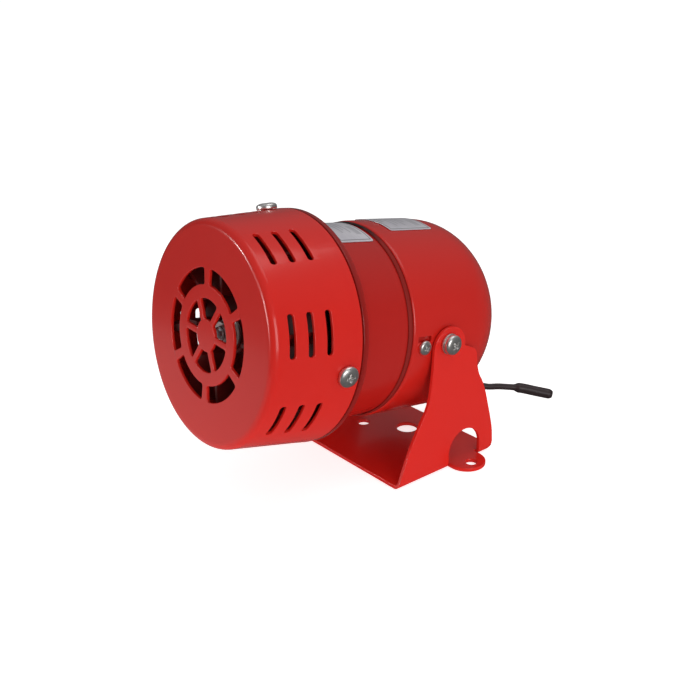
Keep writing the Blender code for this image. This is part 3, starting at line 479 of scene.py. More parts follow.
def smooth_run(points, steps):
    """Catmull-Rom run through points of any dimension."""
    knots = [Vector(p) for p in points]
    knots = [2 * knots[0] - knots[1]] + knots + [2 * knots[-1] - knots[-2]]
    run = []
    for i in range(1, len(knots) - 2):
        before, here, after, beyond = knots[i - 1:i + 3]
        for k in range(steps):
            t = k / steps
            run.append(0.5 * ((2 * here) + (after - before) * t
                              + (2 * before - 5 * here + 4 * after - beyond) * t * t
                              + (3 * here - before - 3 * after + beyond) * t ** 3))
    run.append(knots[-2])
    return run


def round_corners(points, radii, steps):
    """Closed outline of vectors with each corner replaced by an arc of its own radius."""
    out = []
    count = len(points)
    for i, (point, radius) in enumerate(zip(points, radii)):
        previous = points[i - 1]
        following = points[(i + 1) % count]
        back_dir = (previous - point).normalized()
        on_dir = (following - point).normalized()
        angle = back_dir.angle(on_dir)
        if radius <= 0 or angle > math.pi - 0.02:
            out.append((point.x, point.y))
            continue
        reach = min(radius / math.tan(angle / 2), (previous - point).length * 0.49,
                    (following - point).length * 0.49)
        radius = reach * math.tan(angle / 2)
        centre = point + (back_dir + on_dir).normalized() * (radius / math.sin(angle / 2))
        first = point + back_dir * reach - centre
        last = point + on_dir * reach - centre
        start = math.atan2(first.y, first.x)
        turn = math.atan2(last.y, last.x) - start
        turn = (turn + math.pi) % (2 * math.pi) - math.pi
        for k in range(steps + 1):
            a = start + turn * k / steps
            out.append((centre.x + radius * math.cos(a), centre.y + radius * math.sin(a)))
    return out


# ---------------------------------------------------------------- mesh tools
def bridge(shape, ring, following):
    """Faces between two closed rings; triangles where a ring is a single pole."""
    count = len(ring)
    for i in range(count):
        j = (i + 1) % count
        corners = list(dict.fromkeys((ring[i], ring[j], following[j], following[i])))
        if len(corners) > 2:
            shape.faces.new(corners)


def lathe(profile, steps, closed=False):
    """Turns (radius, y) points about the Y axis."""
    shape = bmesh.new()
    rings = []
    for radius, y in profile:
        if radius < 1e-6:
            rings.append([shape.verts.new((0.0, y * MM, 0.0))] * steps)
        else:
            rings.append([
                shape.verts.new((radius * math.cos(a) * MM, y * MM, radius * math.sin(a) * MM))
                for a in sweep(steps, 2 * math.pi)[:-1]])
    for ring, following in zip(rings, rings[1:]):
        bridge(shape, ring, following)
    if closed:
        bridge(shape, rings[-1], rings[0])
    return shape


def lathe_stations(profile, steps, closed=False):
    """Turns (radius, station) points about the Y axis."""
    return lathe([(radius, y_at(station)) for radius, station in profile], steps, closed)


def filled(outlines):
    """Flat triangulation of an outline with holes: (points, faces, [(first, count)])."""
    flat = bmesh.new()
    loops = []
    first = 0
    for outline in outlines:
        verts = [flat.verts.new((x, y, 0.0)) for x, y in outline]
        for i, vert in enumerate(verts):
            flat.edges.new((vert, verts[(i + 1) % len(verts)]))
        loops.append((first, len(verts)))
        first += len(verts)
    flat.verts.index_update()
    bmesh.ops.triangle_fill(flat, use_beauty=True, use_dissolve=False, edges=flat.edges[:])
    points = [(v.co.x, v.co.y) for v in flat.verts]
    faces = [[v.index for v in f.verts] for f in flat.faces]
    flat.free()
    return points, faces, loops


# Outline planes for prism: two outline coordinates and the height, turned into (x, y, z).
def side_plane(y, z, x):
    return (x, y, z)


def plan_plane(x, y, z):
    return (x, y, z)


def section_plane(x, z, y):
    return (x, y, z)


def prism(outlines, plane, low, high):
    """Solid from an outline with holes, between two heights above its plane."""
    points, faces, loops = filled(outlines)
    shape = bmesh.new()
    bottom = [shape.verts.new(Vector(plane(*p, low)) * MM) for p in points]
    top = [shape.verts.new(Vector(plane(*p, high)) * MM) for p in points]
    for face in faces:
        shape.faces.new([bottom[i] for i in face])
        shape.faces.new([top[i] for i in reversed(face)])
    for first, count in loops:
        bridge(shape, bottom[first:first + count], top[first:first + count])
    return shape


def tube(points, radii, sides, shape=None):
    """Capped tube along a line, with a radius at each point."""
    shape = shape or bmesh.new()
    line = [Vector(p) for p in points]
    last = len(line) - 1
    tangents = [(line[min(i + 1, last)] - line[max(i - 1, 0)]).normalized()
                for i in range(len(line))]
    across = tangents[0].orthogonal().normalized()
    rings = []
    for point, tangent, radius in zip(line, tangents, radii):
        across = (across - tangent * across.dot(tangent)).normalized()
        other = tangent.cross(across)
        rings.append([
            shape.verts.new(
                (point + radius * (across * math.cos(a) + other * math.sin(a))) * MM)
            for a in sweep(sides, 2 * math.pi)[:-1]])
    for ring, following in zip(rings, rings[1:]):
        bridge(shape, ring, following)
    shape.faces.new(list(reversed(rings[0])))
    shape.faces.new(rings[-1])
    return shape


def rod(radius, start, end, steps=24, shape=None):
    return tube([start, end], [radius, radius], steps, shape)


def curved_plate(ends_at, radius, thick, columns, shape=None):
    """Plate wrapped about the Y axis; ends_at(degrees) gives (front y, rear y) per column."""
    shape = shape or bmesh.new()
    rows = []
    for degrees in columns:
        a = math.radians(degrees)
        front, rear = ends_at(degrees)
        corners = ((radius, front), (radius + thick, front), (radius + thick, rear),
                   (radius, rear))
        rows.append([shape.verts.new(Vector((r * math.cos(a), y, r * math.sin(a))) * MM)
                     for r, y in corners])
    for row, following in zip(rows, rows[1:]):
        bridge(shape, row, following)
    shape.faces.new(rows[0])
    shape.faces.new(list(reversed(rows[-1])))
    return shape


def spin(shape, degrees):
    """Turns a shape about the Y axis."""
    turn = Matrix.Rotation(math.radians(degrees), 4, "Y")
    for vert in shape.verts:
        vert.co = turn @ vert.co


def raw(name, shape):
    """Object from a bmesh, which is freed."""
    bmesh.ops.remove_doubles(shape, verts=shape.verts, dist=1e-7)
    bmesh.ops.recalc_face_normals(shape, faces=shape.faces)
    mesh = bpy.data.meshes.new(name)
    shape.to_mesh(mesh)
    shape.free()
    obj = bpy.data.objects.new(name, mesh)
    bpy.context.scene.collection.objects.link(obj)
    return obj


def discard(obj):
    mesh = obj.data
    bpy.data.objects.remove(obj, do_unlink=True)
    bpy.data.meshes.remove(mesh)


def carve(obj, shape, operation="DIFFERENCE"):
    """Applies one exact Boolean and throws the tool away."""
    tool = raw("tool", shape)
    cut = obj.modifiers.new("cut", "BOOLEAN")
    cut.operation = operation
    cut.solver = "EXACT"
    cut.object = tool
    depsgraph = bpy.context.evaluated_depsgraph_get()
    made = bpy.data.meshes.new_from_object(obj.evaluated_get(depsgraph))
    old = obj.data
    obj.modifiers.clear()
    obj.data = made
    bpy.data.meshes.remove(old)
    discard(tool)
    work = bmesh.new()
    work.from_mesh(made)
    bmesh.ops.remove_doubles(work, verts=work.verts, dist=2e-6)
    bmesh.ops.dissolve_degenerate(work, edges=work.edges, dist=1e-6)
    work.to_mesh(made)
    work.free()


def dress(obj, material, replaces, bevel, body="siren", place=SIREN, segments=2,
          angle=38.0):
    """Sets the finish, rounds the edges, puts the piece in place and ties it to its body."""
    mesh = obj.data
    mesh.materials.clear()
    mesh.materials.append(material)
    mesh.shade_smooth()
    if bevel:
        edges = obj.modifiers.new("edges", "BEVEL")
        edges.width = bevel * MM
        edges.segments = segments
        edges.limit_method = "ANGLE"
        edges.angle_limit = math.radians(angle)
        edges.use_clamp_overlap = False
        edges.miter_outer = "MITER_ARC"
        edges.profile = 0.5
    normals = obj.modifiers.new("normals", "WEIGHTED_NORMAL")
    normals.mode = "FACE_AREA"
    normals.weight = 50
    normals.keep_sharp = True
    obj.matrix_world = place
    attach(obj, body)
    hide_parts(replaces)


# ---------------------------------------------------------------- placements
def standing(point, out):
    """Placement at a point with local +Y along the direction out."""
    turn = Vector((0, 1, 0)).rotation_difference(out).to_matrix().to_4x4()
    return Matrix.Translation(point * MM) @ turn


def radial(degrees, radius, station):
    """Siren-frame placement whose local +Y points outwards along the radius."""
    a = math.radians(degrees)
    out = Vector((math.cos(a), 0.0, math.sin(a)))
    return standing(out * radius + Vector((0, y_at(station), 0)), out)


def on_cup(degrees, lift):
    """Siren-frame placement square on the cup's tapered side, at the cover screws' station."""
    a = math.radians(degrees)
    out = Vector((math.cos(a) * math.cos(CUP_SLOPE), -math.sin(CUP_SLOPE),
                  math.sin(a) * math.cos(CUP_SLOPE)))
    radius = cup_radius(COVER_SCREW_STATION)
    seat = Vector((math.cos(a) * radius, y_at(COVER_SCREW_STATION), math.sin(a) * radius))
    return standing(seat + out * lift, out)


def facing_side(side):
    """Angle in degrees of the +X or -X side."""
    return 0.0 if side > 0 else 180.0


def drill(shape, place, radius, start, end, steps):
    """Adds a rod along the placement's local Y."""
    ends = [place @ Vector((0, y * MM, 0)) / MM for y in (start, end)]
    rod(radius, *ends, steps, shape)


def drill_cover_screws(shape):
    for degrees in COVER_SCREW_DEG:
        drill(shape, on_cup(degrees, 0.0), radius=2.2, start=-6.5, end=3.5, steps=24)


def drill_side_screws(shape):
    for degrees in SIDE_SCREW_DEG.values():
        drill(shape, radial(degrees, 0.0, SIDE_SCREW_STATION), radius=1.7, start=33.0,
              end=41.0, steps=20)


# ---------------------------------------------------------------- front cover
FILLET = 2.8
SLOT_W = 2.3
SLOT_HALF_DEG = 10.4
SLOT_COUNT = 8
SLOT_PITCH_DEG = 360.0 / SLOT_COUNT
SLOT_MIDS_DEG = [14.2 + SLOT_PITCH_DEG * k for k in range(SLOT_COUNT)]
# Rows of the cup's side: station, and whether a row of slots is cut there.
WALL_ROWS = ((7.3, True), (10.8, False), (14.35, True), (17.8, False), (21.35, True),
             (24.8, False), (29.0, False))
# Radii of the face's rings, from the outer openings' rim to the hub.
FACE_RING_R, FACE_MID_R, FACE_INNER_R, FACE_HUB_R = 23.25, 17.5, 12.85, 5.7
SPOKE_PITCH_DEG = 60
OUTER_SPOKE_DEG, OUTER_SPOKE_W = 34.0, 3.2
INNER_SPOKE_DEG, INNER_SPOKE_W = -2.5, 2.2


def slot_columns():
    """(degrees, half slot width) of the mesh columns round the cup."""
    end = math.degrees(SLOT_W / 2 / CUP_R)
    rounded = [(SLOT_HALF_DEG - end * (1 - math.cos(t)), SLOT_W / 2 * math.sin(t))
               for t in sweep(6)]
    inner = SLOT_HALF_DEG - end
    columns = []
    for mid in SLOT_MIDS_DEG:
        columns += [(mid - offset, half) for offset, half in rounded]
        columns += [(mid - inner + 2 * inner * k / 12, SLOT_W / 2) for k in range(1, 12)]
        columns += [(mid + offset, half) for offset, half in reversed(rounded)]
        start = mid + SLOT_HALF_DEG
        stop = mid + SLOT_PITCH_DEG - SLOT_HALF_DEG
        columns += [(start + (stop - start) * k / 14, 0.0) for k in range(1, 14)]
    return columns


def opening(outer, inner, corner):
    """Outline from two arcs, its four corners rounded."""
    def trimmed(points):
        # Drops the points nearest each end, so that the corner arc has room.
        run = [Vector(p) for p in points]
        room = corner * 1.6
        while len(run) > 3 and (run[1] - run[0]).length <= room:
            run.pop(1)
        while len(run) > 3 and (run[-2] - run[-1]).length <= room:
            run.pop(-2)
        return run

    runs = [trimmed(outer), trimmed(inner)]
    radii = []
    for run in runs:
        radii += [corner] + [0] * (len(run) - 2) + [corner]
    return round_corners(runs[0] + runs[1], radii, 5)


def face_openings():
    """Outlines of the outer and inner openings between the face's spokes."""
    shapes = []
    mean_r = (FACE_MID_R + FACE_RING_R) / 2
    half = math.degrees(math.asin(OUTER_SPOKE_W / 2 / mean_r))
    rim_turn, hub_turn = (math.degrees(math.asin(INNER_SPOKE_W / 2 / radius))
                          for radius in (FACE_INNER_R, FACE_HUB_R))
    for k in range(6):
        start = OUTER_SPOKE_DEG + SPOKE_PITCH_DEG * k + half
        end = OUTER_SPOKE_DEG + SPOKE_PITCH_DEG * (k + 1) - half
        shapes.append(opening(arc(0, 0, FACE_RING_R, start, end, 18),
                              arc(0, 0, FACE_MID_R, end, start, 14), corner=0.85))
        start = INNER_SPOKE_DEG + SPOKE_PITCH_DEG * k
        end = INNER_SPOKE_DEG + SPOKE_PITCH_DEG * (k + 1)
        shapes.append(opening(arc(0, 0, FACE_INNER_R, start + rim_turn, end - rim_turn, 12),
                              arc(0, 0, FACE_HUB_R, end - hub_turn, start + hub_turn, 6),
                              corner=0.7))
    return shapes


def front_cover_shape():
    """Double-skinned cup with slotted side and open spoked face."""
    shape = bmesh.new()
    columns = slot_columns()
    count = len(columns)
    halves = [half for _, half in columns]
    inward = SHEET / math.cos(CUP_SLOPE)
    fillet_r = cup_radius(FILLET) - FILLET / math.cos(CUP_SLOPE)
    face_r = fillet_r - 0.5

    def ring(points):
        """One vertex per column from (radius, station) points."""
        return [shape.verts.new(Vector((radius * math.cos(math.radians(degrees)), y_at(station),
                                        radius * math.sin(math.radians(degrees)))) * MM)
                for (degrees, _), (radius, station) in zip(columns, points)]

    skins = []
    # Outer and inner skin: inset, face station, fillet, rim rounding and its direction.
    for inset, face, fillet, rounding, sign in (
            (0.0, 0.0, FILLET, 0.95, 1), (inward, SHEET, FILLET - SHEET, 0.2, -1)):
        front = [(face_r, face), (fillet_r, face)]
        front += [(fillet_r + fillet * math.sin(t), FILLET - fillet * math.cos(t))
                  for t in sweep(10, math.pi / 2 - CUP_SLOPE)[1:]]
        rings = [("solid", ring([point] * count)) for point in front]
        for station, slotted in WALL_ROWS:
            if not slotted:
                point = (cup_radius(station) - inset, station)
                rings.append(("solid", ring([point] * count)))
                continue
            low = ring([(cup_radius(station - h) - inset, station - h) for h in halves])
            high = ring([(cup_radius(station + h) - inset, station + h) for h in halves])
            # Away from the slots both edges share one vertex.
            for i, half in enumerate(halves):
                if half < 1e-6:
                    shape.verts.remove(high[i])
                    high[i] = low[i]
            rings += [("low", low), ("high", high)]
        for t in sweep(5):
            point = (cup_radius(CUP_LEN) - (inset + sign * rounding * (1 - math.cos(t))),
                     CUP_LEN - rounding * (1 - math.sin(t)))
            rings.append(("solid", ring([point] * count)))
        for (kind, verts), (_, following) in zip(rings, rings[1:]):
            if kind != "low":
                bridge(shape, verts, following)
        skins.append(rings)

    # Walls of the slots, then the rim's end face.
    for (kind, outer), (_, inner) in zip(*skins):
        if kind == "solid":
            continue
        for i in range(count):
            j = (i + 1) % count
            if max(halves[i], halves[j]) >= 1e-6:
                shape.faces.new([outer[i], outer[j], inner[j], inner[i]])
    bridge(shape, skins[0][-1][1], skins[1][-1][1])

    # Flat face with its openings.
    outline = [(face_r * math.cos(math.radians(degrees)), face_r * math.sin(math.radians(degrees)))
               for degrees, _ in columns]
    points, faces, loops = filled([outline] + face_openings())
    sheets = []
    for rings, y in zip(skins, (FACE_Y, FACE_Y + SHEET)):
        verts = list(rings[0][1])
        verts += [shape.verts.new(Vector((x, y, z)) * MM) for x, z in points[count:]]
        for face in faces:
            shape.faces.new([verts[i] for i in face])
        sheets.append(verts)
    for first, length in loops[1:]:
        bridge(shape, *(verts[first:first + length] for verts in sheets))
    return shape


def add_front_cover():
    cover = raw("siren_front_cover", front_cover_shape())
    holes = bmesh.new()
    drill_cover_screws(holes)
    carve(cover, holes)
    dress(cover, COVER_PAINT, "front_cover", bevel=0.22)


# ---------------------------------------------------------------- mid housing
WALL = 1.0
SHOULDER_REAR = 37.3  # station
PLATE_REAR = 33.2  # station of the rear side of the plate inside the barrel
PLATE_BORE_R = 24.0


def lip_radius(station):
    """Outside radius of the sleeve that slips into the cup."""
    return cup_radius(station) - SHEET / math.cos(CUP_SLOPE) - 0.3


def mid_profile():
    """(radius, station) outline.  On arcs 0 degrees points outwards, 90 to the rear."""
    lip_inner = lip_radius(PLATE_REAR) - SHEET
    barrel_end = BARREL_END - FACE_Y
    return (
        [(PLATE_BORE_R, PLATE_REAR)] + arc(lip_inner - 0.6, 32.6, 0.6, 90.0, 0.0, 4)
        + [(lip_radius(25.0) - SHEET, 25.0), (lip_radius(25.0), 25.0), (lip_radius(30.0), 30.0),
           (lip_radius(CUP_LEN), CUP_LEN + 0.1), (SHOULDER_R - 0.35, CUP_LEN + 0.1)]
        + arc(SHOULDER_R - 0.35, CUP_LEN + 0.45, 0.35, -90.0, 0.0, 4)[1:]
        + arc(SHOULDER_R - 1.15, SHOULDER_REAR - 1.15, 1.15, 0.0, 80.0, 6)
        + [(SHOULDER_R - 1.2, SHOULDER_REAR - 0.15), (SHOULDER_R - 1.2, CUP_LEN + 1.9)]
        + arc(SHOULDER_R - 1.8, CUP_LEN + 1.9, 0.6, 0.0, -90.0, 4)[1:]
        + arc(BARREL_R + 0.8, CUP_LEN + 2.1, 0.8, -90.0, -180.0, 5)
        + [(BARREL_R, station) for station in (40.0, 45.0, 50.0, 55.0, 60.0, 66.0)]
        + [(BARREL_R, barrel_end), (BARREL_R - WALL, barrel_end),
           (BARREL_R - WALL, CUP_LEN - 0.1), (PLATE_BORE_R, CUP_LEN - 0.1)])


def add_mid_housing():
    housing = raw("siren_mid_housing", lathe_stations(mid_profile(), 192, closed=True))
    holes = bmesh.new()
    drill_cover_screws(holes)
    drill_side_screws(holes)
    for degrees in BOLT_DEG:
        x = BOLT_CIRCLE_R * math.cos(math.radians(degrees))
        z = BOLT_CIRCLE_R * math.sin(math.radians(degrees))
        rod(1.95, (x, y_at(32.0), z), (x, y_at(37.6), z), 20, holes)
    carve(housing, holes)
    dress(housing, BARREL_PAINT, "mid_housing", bevel=0.15)


# ---------------------------------------------------------------- rear cover and gasket
DOME_START = 94.0  # station
DOME_LEN = (REAR_END - FACE_Y) - DOME_START
OUTLET_ANGLE = math.radians(50.0)  # cable outlet on the dome's underside, from rim to tip
OUTLET = Vector((0.0, y_at(DOME_START + DOME_LEN * math.sin(OUTLET_ANGLE)),
                 -REAR_R * math.cos(OUTLET_ANGLE)))
OUTLET_DIR = Vector((0.0, math.sin(OUTLET_ANGLE) / DOME_LEN,
                     -math.cos(OUTLET_ANGLE) / REAR_R)).normalized()


def dome(radius, length, steps):
    """(radius, station) points of a quarter ellipse from the rim to the tip."""
    points = [(radius * math.cos(t), DOME_START + length * math.sin(t)) for t in sweep(steps)]
    points[-1] = (0.0, points[-1][1])
    return points


def add_rear_cover():
    inner_r = REAR_R - REAR_WALL
    rim = REAR_FRONT - FACE_Y
    profile = dome(REAR_R, DOME_LEN, 28)[::-1]
    profile += [(REAR_R, station) for station in (88.0, 82.0, 76.0, 70.0, 66.5)]
    # Rolled front rim, then the inside.
    profile += [(REAR_R - 0.72 * (1 - math.cos(t)), rim + 1.5 * (1 - math.sin(t)))
                for t in sweep(7)]
    profile += [(inner_r + 0.06, rim + 0.05), (inner_r, rim + 0.3), (inner_r, 70.0),
                (inner_r, 80.0)]
    profile += dome(inner_r, DOME_LEN - REAR_WALL, 20)
    cover = raw("siren_rear_cover", lathe_stations(profile, 192))

    holes = bmesh.new()
    drill_side_screws(holes)
    for side, _ in SIDES:
        rod(2.25, (side * 34.0, 0, 0), (side * 42.0, 0, 0), 24, holes)
    for middle in (3.3, 176.7):
        # Small window just above each side screw.
        columns = [middle - 1.5 + 3.0 * k / 6 for k in range(7)]
        curved_plate(lambda degrees: (y_at(64.7), y_at(71.1)), REAR_R - 1.6, 3.2, columns,
                     holes)
    rod(3.6, OUTLET - OUTLET_DIR * 5, OUTLET + OUTLET_DIR * 5, 24, holes)
    carve(cover, holes)
    dress(cover, DOME_PAINT, "rear_cover", bevel=0.12)


def add_gasket():
    front, rear, radius = measured("seam_gasket")
    half = (rear - front) / 2
    profile = [(BARREL_R + 0.15, front + 0.2), (BARREL_R + 0.3, front)]
    profile += [(radius - 0.40 - 0.45 * (1 - math.sin(t)), front + half * (1 - math.cos(t)))
                for t in sweep(10, math.pi)]
    profile += [(BARREL_R + 0.3, rear), (BARREL_R + 0.15, rear - 0.2)]
    gasket = raw("siren_seam_gasket", lathe(profile, 160, closed=True))
    dress(gasket, SEAM_RUBBER, "seam_gasket", bevel=0.0)


# ---------------------------------------------------------------- labels
# Bars: station, start x, stop x, half thickness, strength of the ink.
FRONT_BARS = ((46.3, -9.0, 4.0, 0.55, 0.45), (48.6, -9.0, 9.0, 0.28, 0.35),
              (50.4, -9.0, 7.0, 0.28, 0.35), (52.2, -9.0, 9.0, 0.28, 0.35),
              (55.2, 3.0, 10.5, 1.10, 0.30))
REAR_BARS = ((73.6, -7.0, 2.0, 0.60, 0.40), (76.4, -7.0, 7.0, 0.28, 0.32),
             (78.6, -7.0, 5.0, 0.28, 0.32), (80.8, -7.0, 7.0, 0.28, 0.32),
             (83.0, -7.0, 3.5, 0.28, 0.32), (87.0, 1.0, 7.6, 1.40, 0.25))


def add_label(name, node, radius, start, end, front, rear, bars):
    """Label wrapped on a shell from start to end degrees and front to rear station."""
    corner = 1.0
    corner_deg = math.degrees(corner / radius)
    straight = end - start - 2 * corner_deg
    rounded = [corner_deg * (1 - math.cos(t)) for t in sweep(5)]
    columns = [start + step for step in rounded]
    columns += [start + corner_deg + straight * k / 24 for k in range(1, 24)]
    columns += [end - step for step in reversed(rounded)]

    def ends_at(degrees):
        inside = min(degrees - start, end - degrees)
        if inside >= corner_deg:
            return y_at(front), y_at(rear)
        offset = corner * (1 - inside / corner_deg)
        cut = corner - math.sqrt(max(0.0, corner ** 2 - offset ** 2))
        return y_at(front) + cut * 0.98, y_at(rear) - cut * 0.98

    plate = raw(name, curved_plate(ends_at, radius + 0.14, 0.24, columns))
    half_width = radius * math.sin(math.radians((end - start) / 2))
    foil = foil_label(name + "_foil", y_at(front), y_at(rear), half_width, bars)
    dress(plate, foil, node, bevel=0.06)


def add_labels():
    add_label("siren_front_label", "front_label", BARREL_R, start=66.0, end=114.0,
              front=43.2, rear=58.6, bars=FRONT_BARS)
    add_label("siren_rear_label", "rear_label", REAR_R, start=73.5, end=106.5,
              front=70.2, rear=91.4, bars=REAR_BARS)


# ---------------------------------------------------------------- screws and washers
# Recess: bar width, half reach, depth.
COVER_SCREW = dict(head_r=3.75, head_h=2.3, shank_r=1.9, length=5.4, recess=(0.95, 2.3, 1.35))
SIDE_SCREW = dict(head_r=2.7, head_h=1.5, shank_r=1.35, length=4.2, recess=(0.75, 1.65, 0.9),
                  steps=40)
PIVOT_SCREW = dict(head_r=3.75, head_h=2.4, shank_r=1.95, length=9.4, recess=(0.95, 2.4, 1.4))


def screw_mesh(name, head_r, head_h, shank_r, length, recess, steps=48):
    """Pan-head screw about +Y: domed head with a cross recess, ridged shank."""
    profile = [(0.0, head_h)]
    profile += [(head_r * (0.30 + 0.70 * math.sin(t)),
                 head_h * (0.42 + 0.58 * math.cos(t) ** 0.8)) for t in sweep(8)[1:]]
    profile += [(head_r, head_h * 0.18), (head_r - 0.12, 0.05), (head_r - 0.25, 0.0),
                (shank_r + 0.25, 0.0), (shank_r, -0.25)]
    pitch = 0.7 if shank_r > 1.6 else 0.5
    y = -0.6
    while y > -length + 0.9:
        profile += [(shank_r, y), (shank_r - 0.22, y - pitch * 0.5)]
        y -= pitch
    profile += [(shank_r, -length + 0.6), (shank_r - 0.5, -length), (0.0, -length)]
    screw = raw(name, lathe(profile, steps))
    width, reach, deep = recess
    top = head_h + 1.0
    floor = head_h - deep
    for turn in (0.0, 90.0):
        outline = [(-reach, top), (-reach * 0.35, floor), (reach * 0.35, floor), (reach, top)]
        bar = prism([outline], plan_plane, -width / 2, width / 2)
        spin(bar, turn)
        bar.normal_update()
        carve(screw, bar)
    return screw


def add_screw(name, node, size, place, turn, bevel=0.12):
    """Zinc screw at a siren-frame placement, turned about its own axis."""
    turned = place @ Matrix.Rotation(math.radians(turn), 4, "Y")
    dress(screw_mesh(name, **size), ZINC, node, bevel, place=SIREN @ turned, angle=50.0)


def add_shell_screws():
    for i, (degrees, turn) in enumerate(zip(COVER_SCREW_DEG, (22.0, 61.0, 5.0)), start=1):
        add_screw(f"cover_screw_{i}_head", f"cover_screw_{i}", COVER_SCREW,
                  on_cup(degrees, 0.1), turn)
    for word, turn in (("right", 37.0), ("left", 12.0)):
        place = radial(SIDE_SCREW_DEG[word], REAR_R + 0.1, SIDE_SCREW_STATION)
        add_screw(f"side_screw_{word}_head", f"side_screw_{word}", SIDE_SCREW, place, turn,
                  bevel=0.1)


def add_pivot_screws():
    """Screw and split spring washer on each arm."""
    washer_low, washer_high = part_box("pivot_lock_washer_right")
    seat = washer_low.x / MM
    thick = (washer_high.x - washer_low.x) / MM
    inner_r = 2.15
    outer_r = 3.9
    for (side, word), turn in zip(SIDES, (50.0, 18.0)):
        degrees = facing_side(side)
        add_screw(f"pivot_screw_{word}_head", f"pivot_screw_{word}", PIVOT_SCREW,
                  radial(degrees, seat + thick + 0.25, PIVOT_STATION), turn)
        profile = [(inner_r, 0.0), (outer_r, 0.0), (outer_r, thick), (inner_r, thick)]
        ring = raw(f"spring_washer_{word}", lathe(profile, 64, closed=True))
        # Slanting cut through one side.
        gap = prism([[(2.0, -0.5), (5.0, -0.5), (5.0, 0.1), (2.0, 0.1)]],
                    lambda x, z, y: (x, y, z + 0.25 * y), -1.0, thick + 1.0)
        carve(ring, gap)
        turned = radial(degrees, seat, PIVOT_STATION) @ Matrix.Rotation(
            math.radians(200.0), 4, "Y")
        dress(ring, ZINC, f"pivot_lock_washer_{word}", bevel=0.1, place=SIREN @ turned)


# ---------------------------------------------------------------- bracket
BRACKET_SHEET = 1.5
BRACKET_LOW, BRACKET_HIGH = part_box("base_bracket")
BASE_FRONT, BASE_REAR = BRACKET_LOW.y / MM, BRACKET_HIGH.y / MM
ARM_X = 39.2  # outer side of an arm
BEND_R = 2.3
BASE_HALF_W = ARM_X - BEND_R
HEAD = (0.9, 50.4, 7.9)  # y, z, radius of an arm's round head
ARCH_Y, ARCH_R, ARCH_Z = 10.2, 8.3, 5.8  # arched cut at the foot of an arm
TAB_HALF = 7.6
TAB_END = BRACKET_HIGH.x / MM
BASE_HOLES = ((5.0, 11.5, 4.3, 48), (-10.5, 1.0, 2.4, 32), (20.5, 1.0, 2.4, 32))
# (y, z) points of an arm's edges, seen from the side.
ARM_FRONT = ((BASE_FRONT, 0.0), (-18.1, 15.0), (-13.3, 23.4), (-10.2, 28.6), (-8.5, 34.3),
             (-7.4, 43.0))
ARM_REAR = ((9.6, 48.9), (11.2, 48.2), (13.4, 47.0), (14.7, 45.8), (15.3, 44.2), (15.7, 41.4),
            (16.1, 38.7), (17.2, 35.2), (19.1, 31.8), (21.2, 26.5), (22.8, 20.9), (24.4, 15.2),
            (25.7, 9.5), (BASE_REAR - 0.3, 4.0))
ARM_FOOT = ((BASE_REAR - 0.35, 3.6), (BASE_REAR - 0.9, 1.9), (BASE_REAR - 2.2, 0.6))


def arm_side():
    """Closed (y, z) outline of an arm, seen from the side."""
    head = arc(*HEAD, -8.0, 178.0, 40)[::-1]
    points = smooth_run(ARM_FRONT, 6) + head + smooth_run(ARM_REAR, 5)
    points += smooth_run(ARM_FOOT, 4) + [Vector((BASE_REAR - 2.9, 0.0))]
    return [(p[0], p[1]) for p in points]


def arm_section(side):
    """(x, z) outline of an arm: flat inner end, round bend, upright."""
    inner_bend = arc(BASE_HALF_W, BEND_R, BEND_R - BRACKET_SHEET, -90.0, 0.0, 8)[::-1]
    points = (
        [(BASE_HALF_W - 4.0, 0.0)] + arc(BASE_HALF_W, BEND_R, BEND_R, -90.0, 0.0, 12)
        + [(ARM_X, 62.0), (ARM_X - BRACKET_SHEET, 62.0)] + inner_bend
        + [(BASE_HALF_W - 4.0, BRACKET_SHEET)])
    return [(side * x, z) for x, z in points]


def join_arm(bracket, side):
    arm = raw("arm", prism([arm_section(side)], section_plane, BASE_FRONT, BASE_REAR + 0.5))
    carve(arm, prism([arm_side()], side_plane, *sorted((side * 30.0, side * 60.0))),
          "INTERSECT")
    arch = [(ARCH_Y + ARCH_R, -2.0)] + arc(ARCH_Y, ARCH_Z, ARCH_R, 0.0, 180.0, 40)
    arch.append((ARCH_Y - ARCH_R, -2.0))
    carve(arm, prism([arch], side_plane, *sorted((side * (BASE_HALF_W - 0.4), side * 45.0))))
    pivot_z = PIVOT.z / MM
    carve(arm, rod(2.08, (side * 34.0, 0.0, pivot_z), (side * 44.0, 0.0, pivot_z), 40))
    work = bmesh.new()
    work.from_mesh(arm.data)
    carve(bracket, work, "UNION")
    discard(arm)


def join_tab(bracket, side):
    """Round-ended tab outside the base, with a hole."""
    root = BASE_HALF_W - 3.0
    tab = [(root, ARCH_Y - TAB_HALF)]
    tab += arc(TAB_END - TAB_HALF, ARCH_Y, TAB_HALF, -90.0, 90.0, 32)
    tab.append((root, ARCH_Y + TAB_HALF))
    outlines = [[(side * x, y) for x, y in tab], circle(side * 43.0, ARCH_Y, 2.2, 32)]
    carve(bracket, prism(outlines, plan_plane, 0.0, BRACKET_SHEET), "UNION")


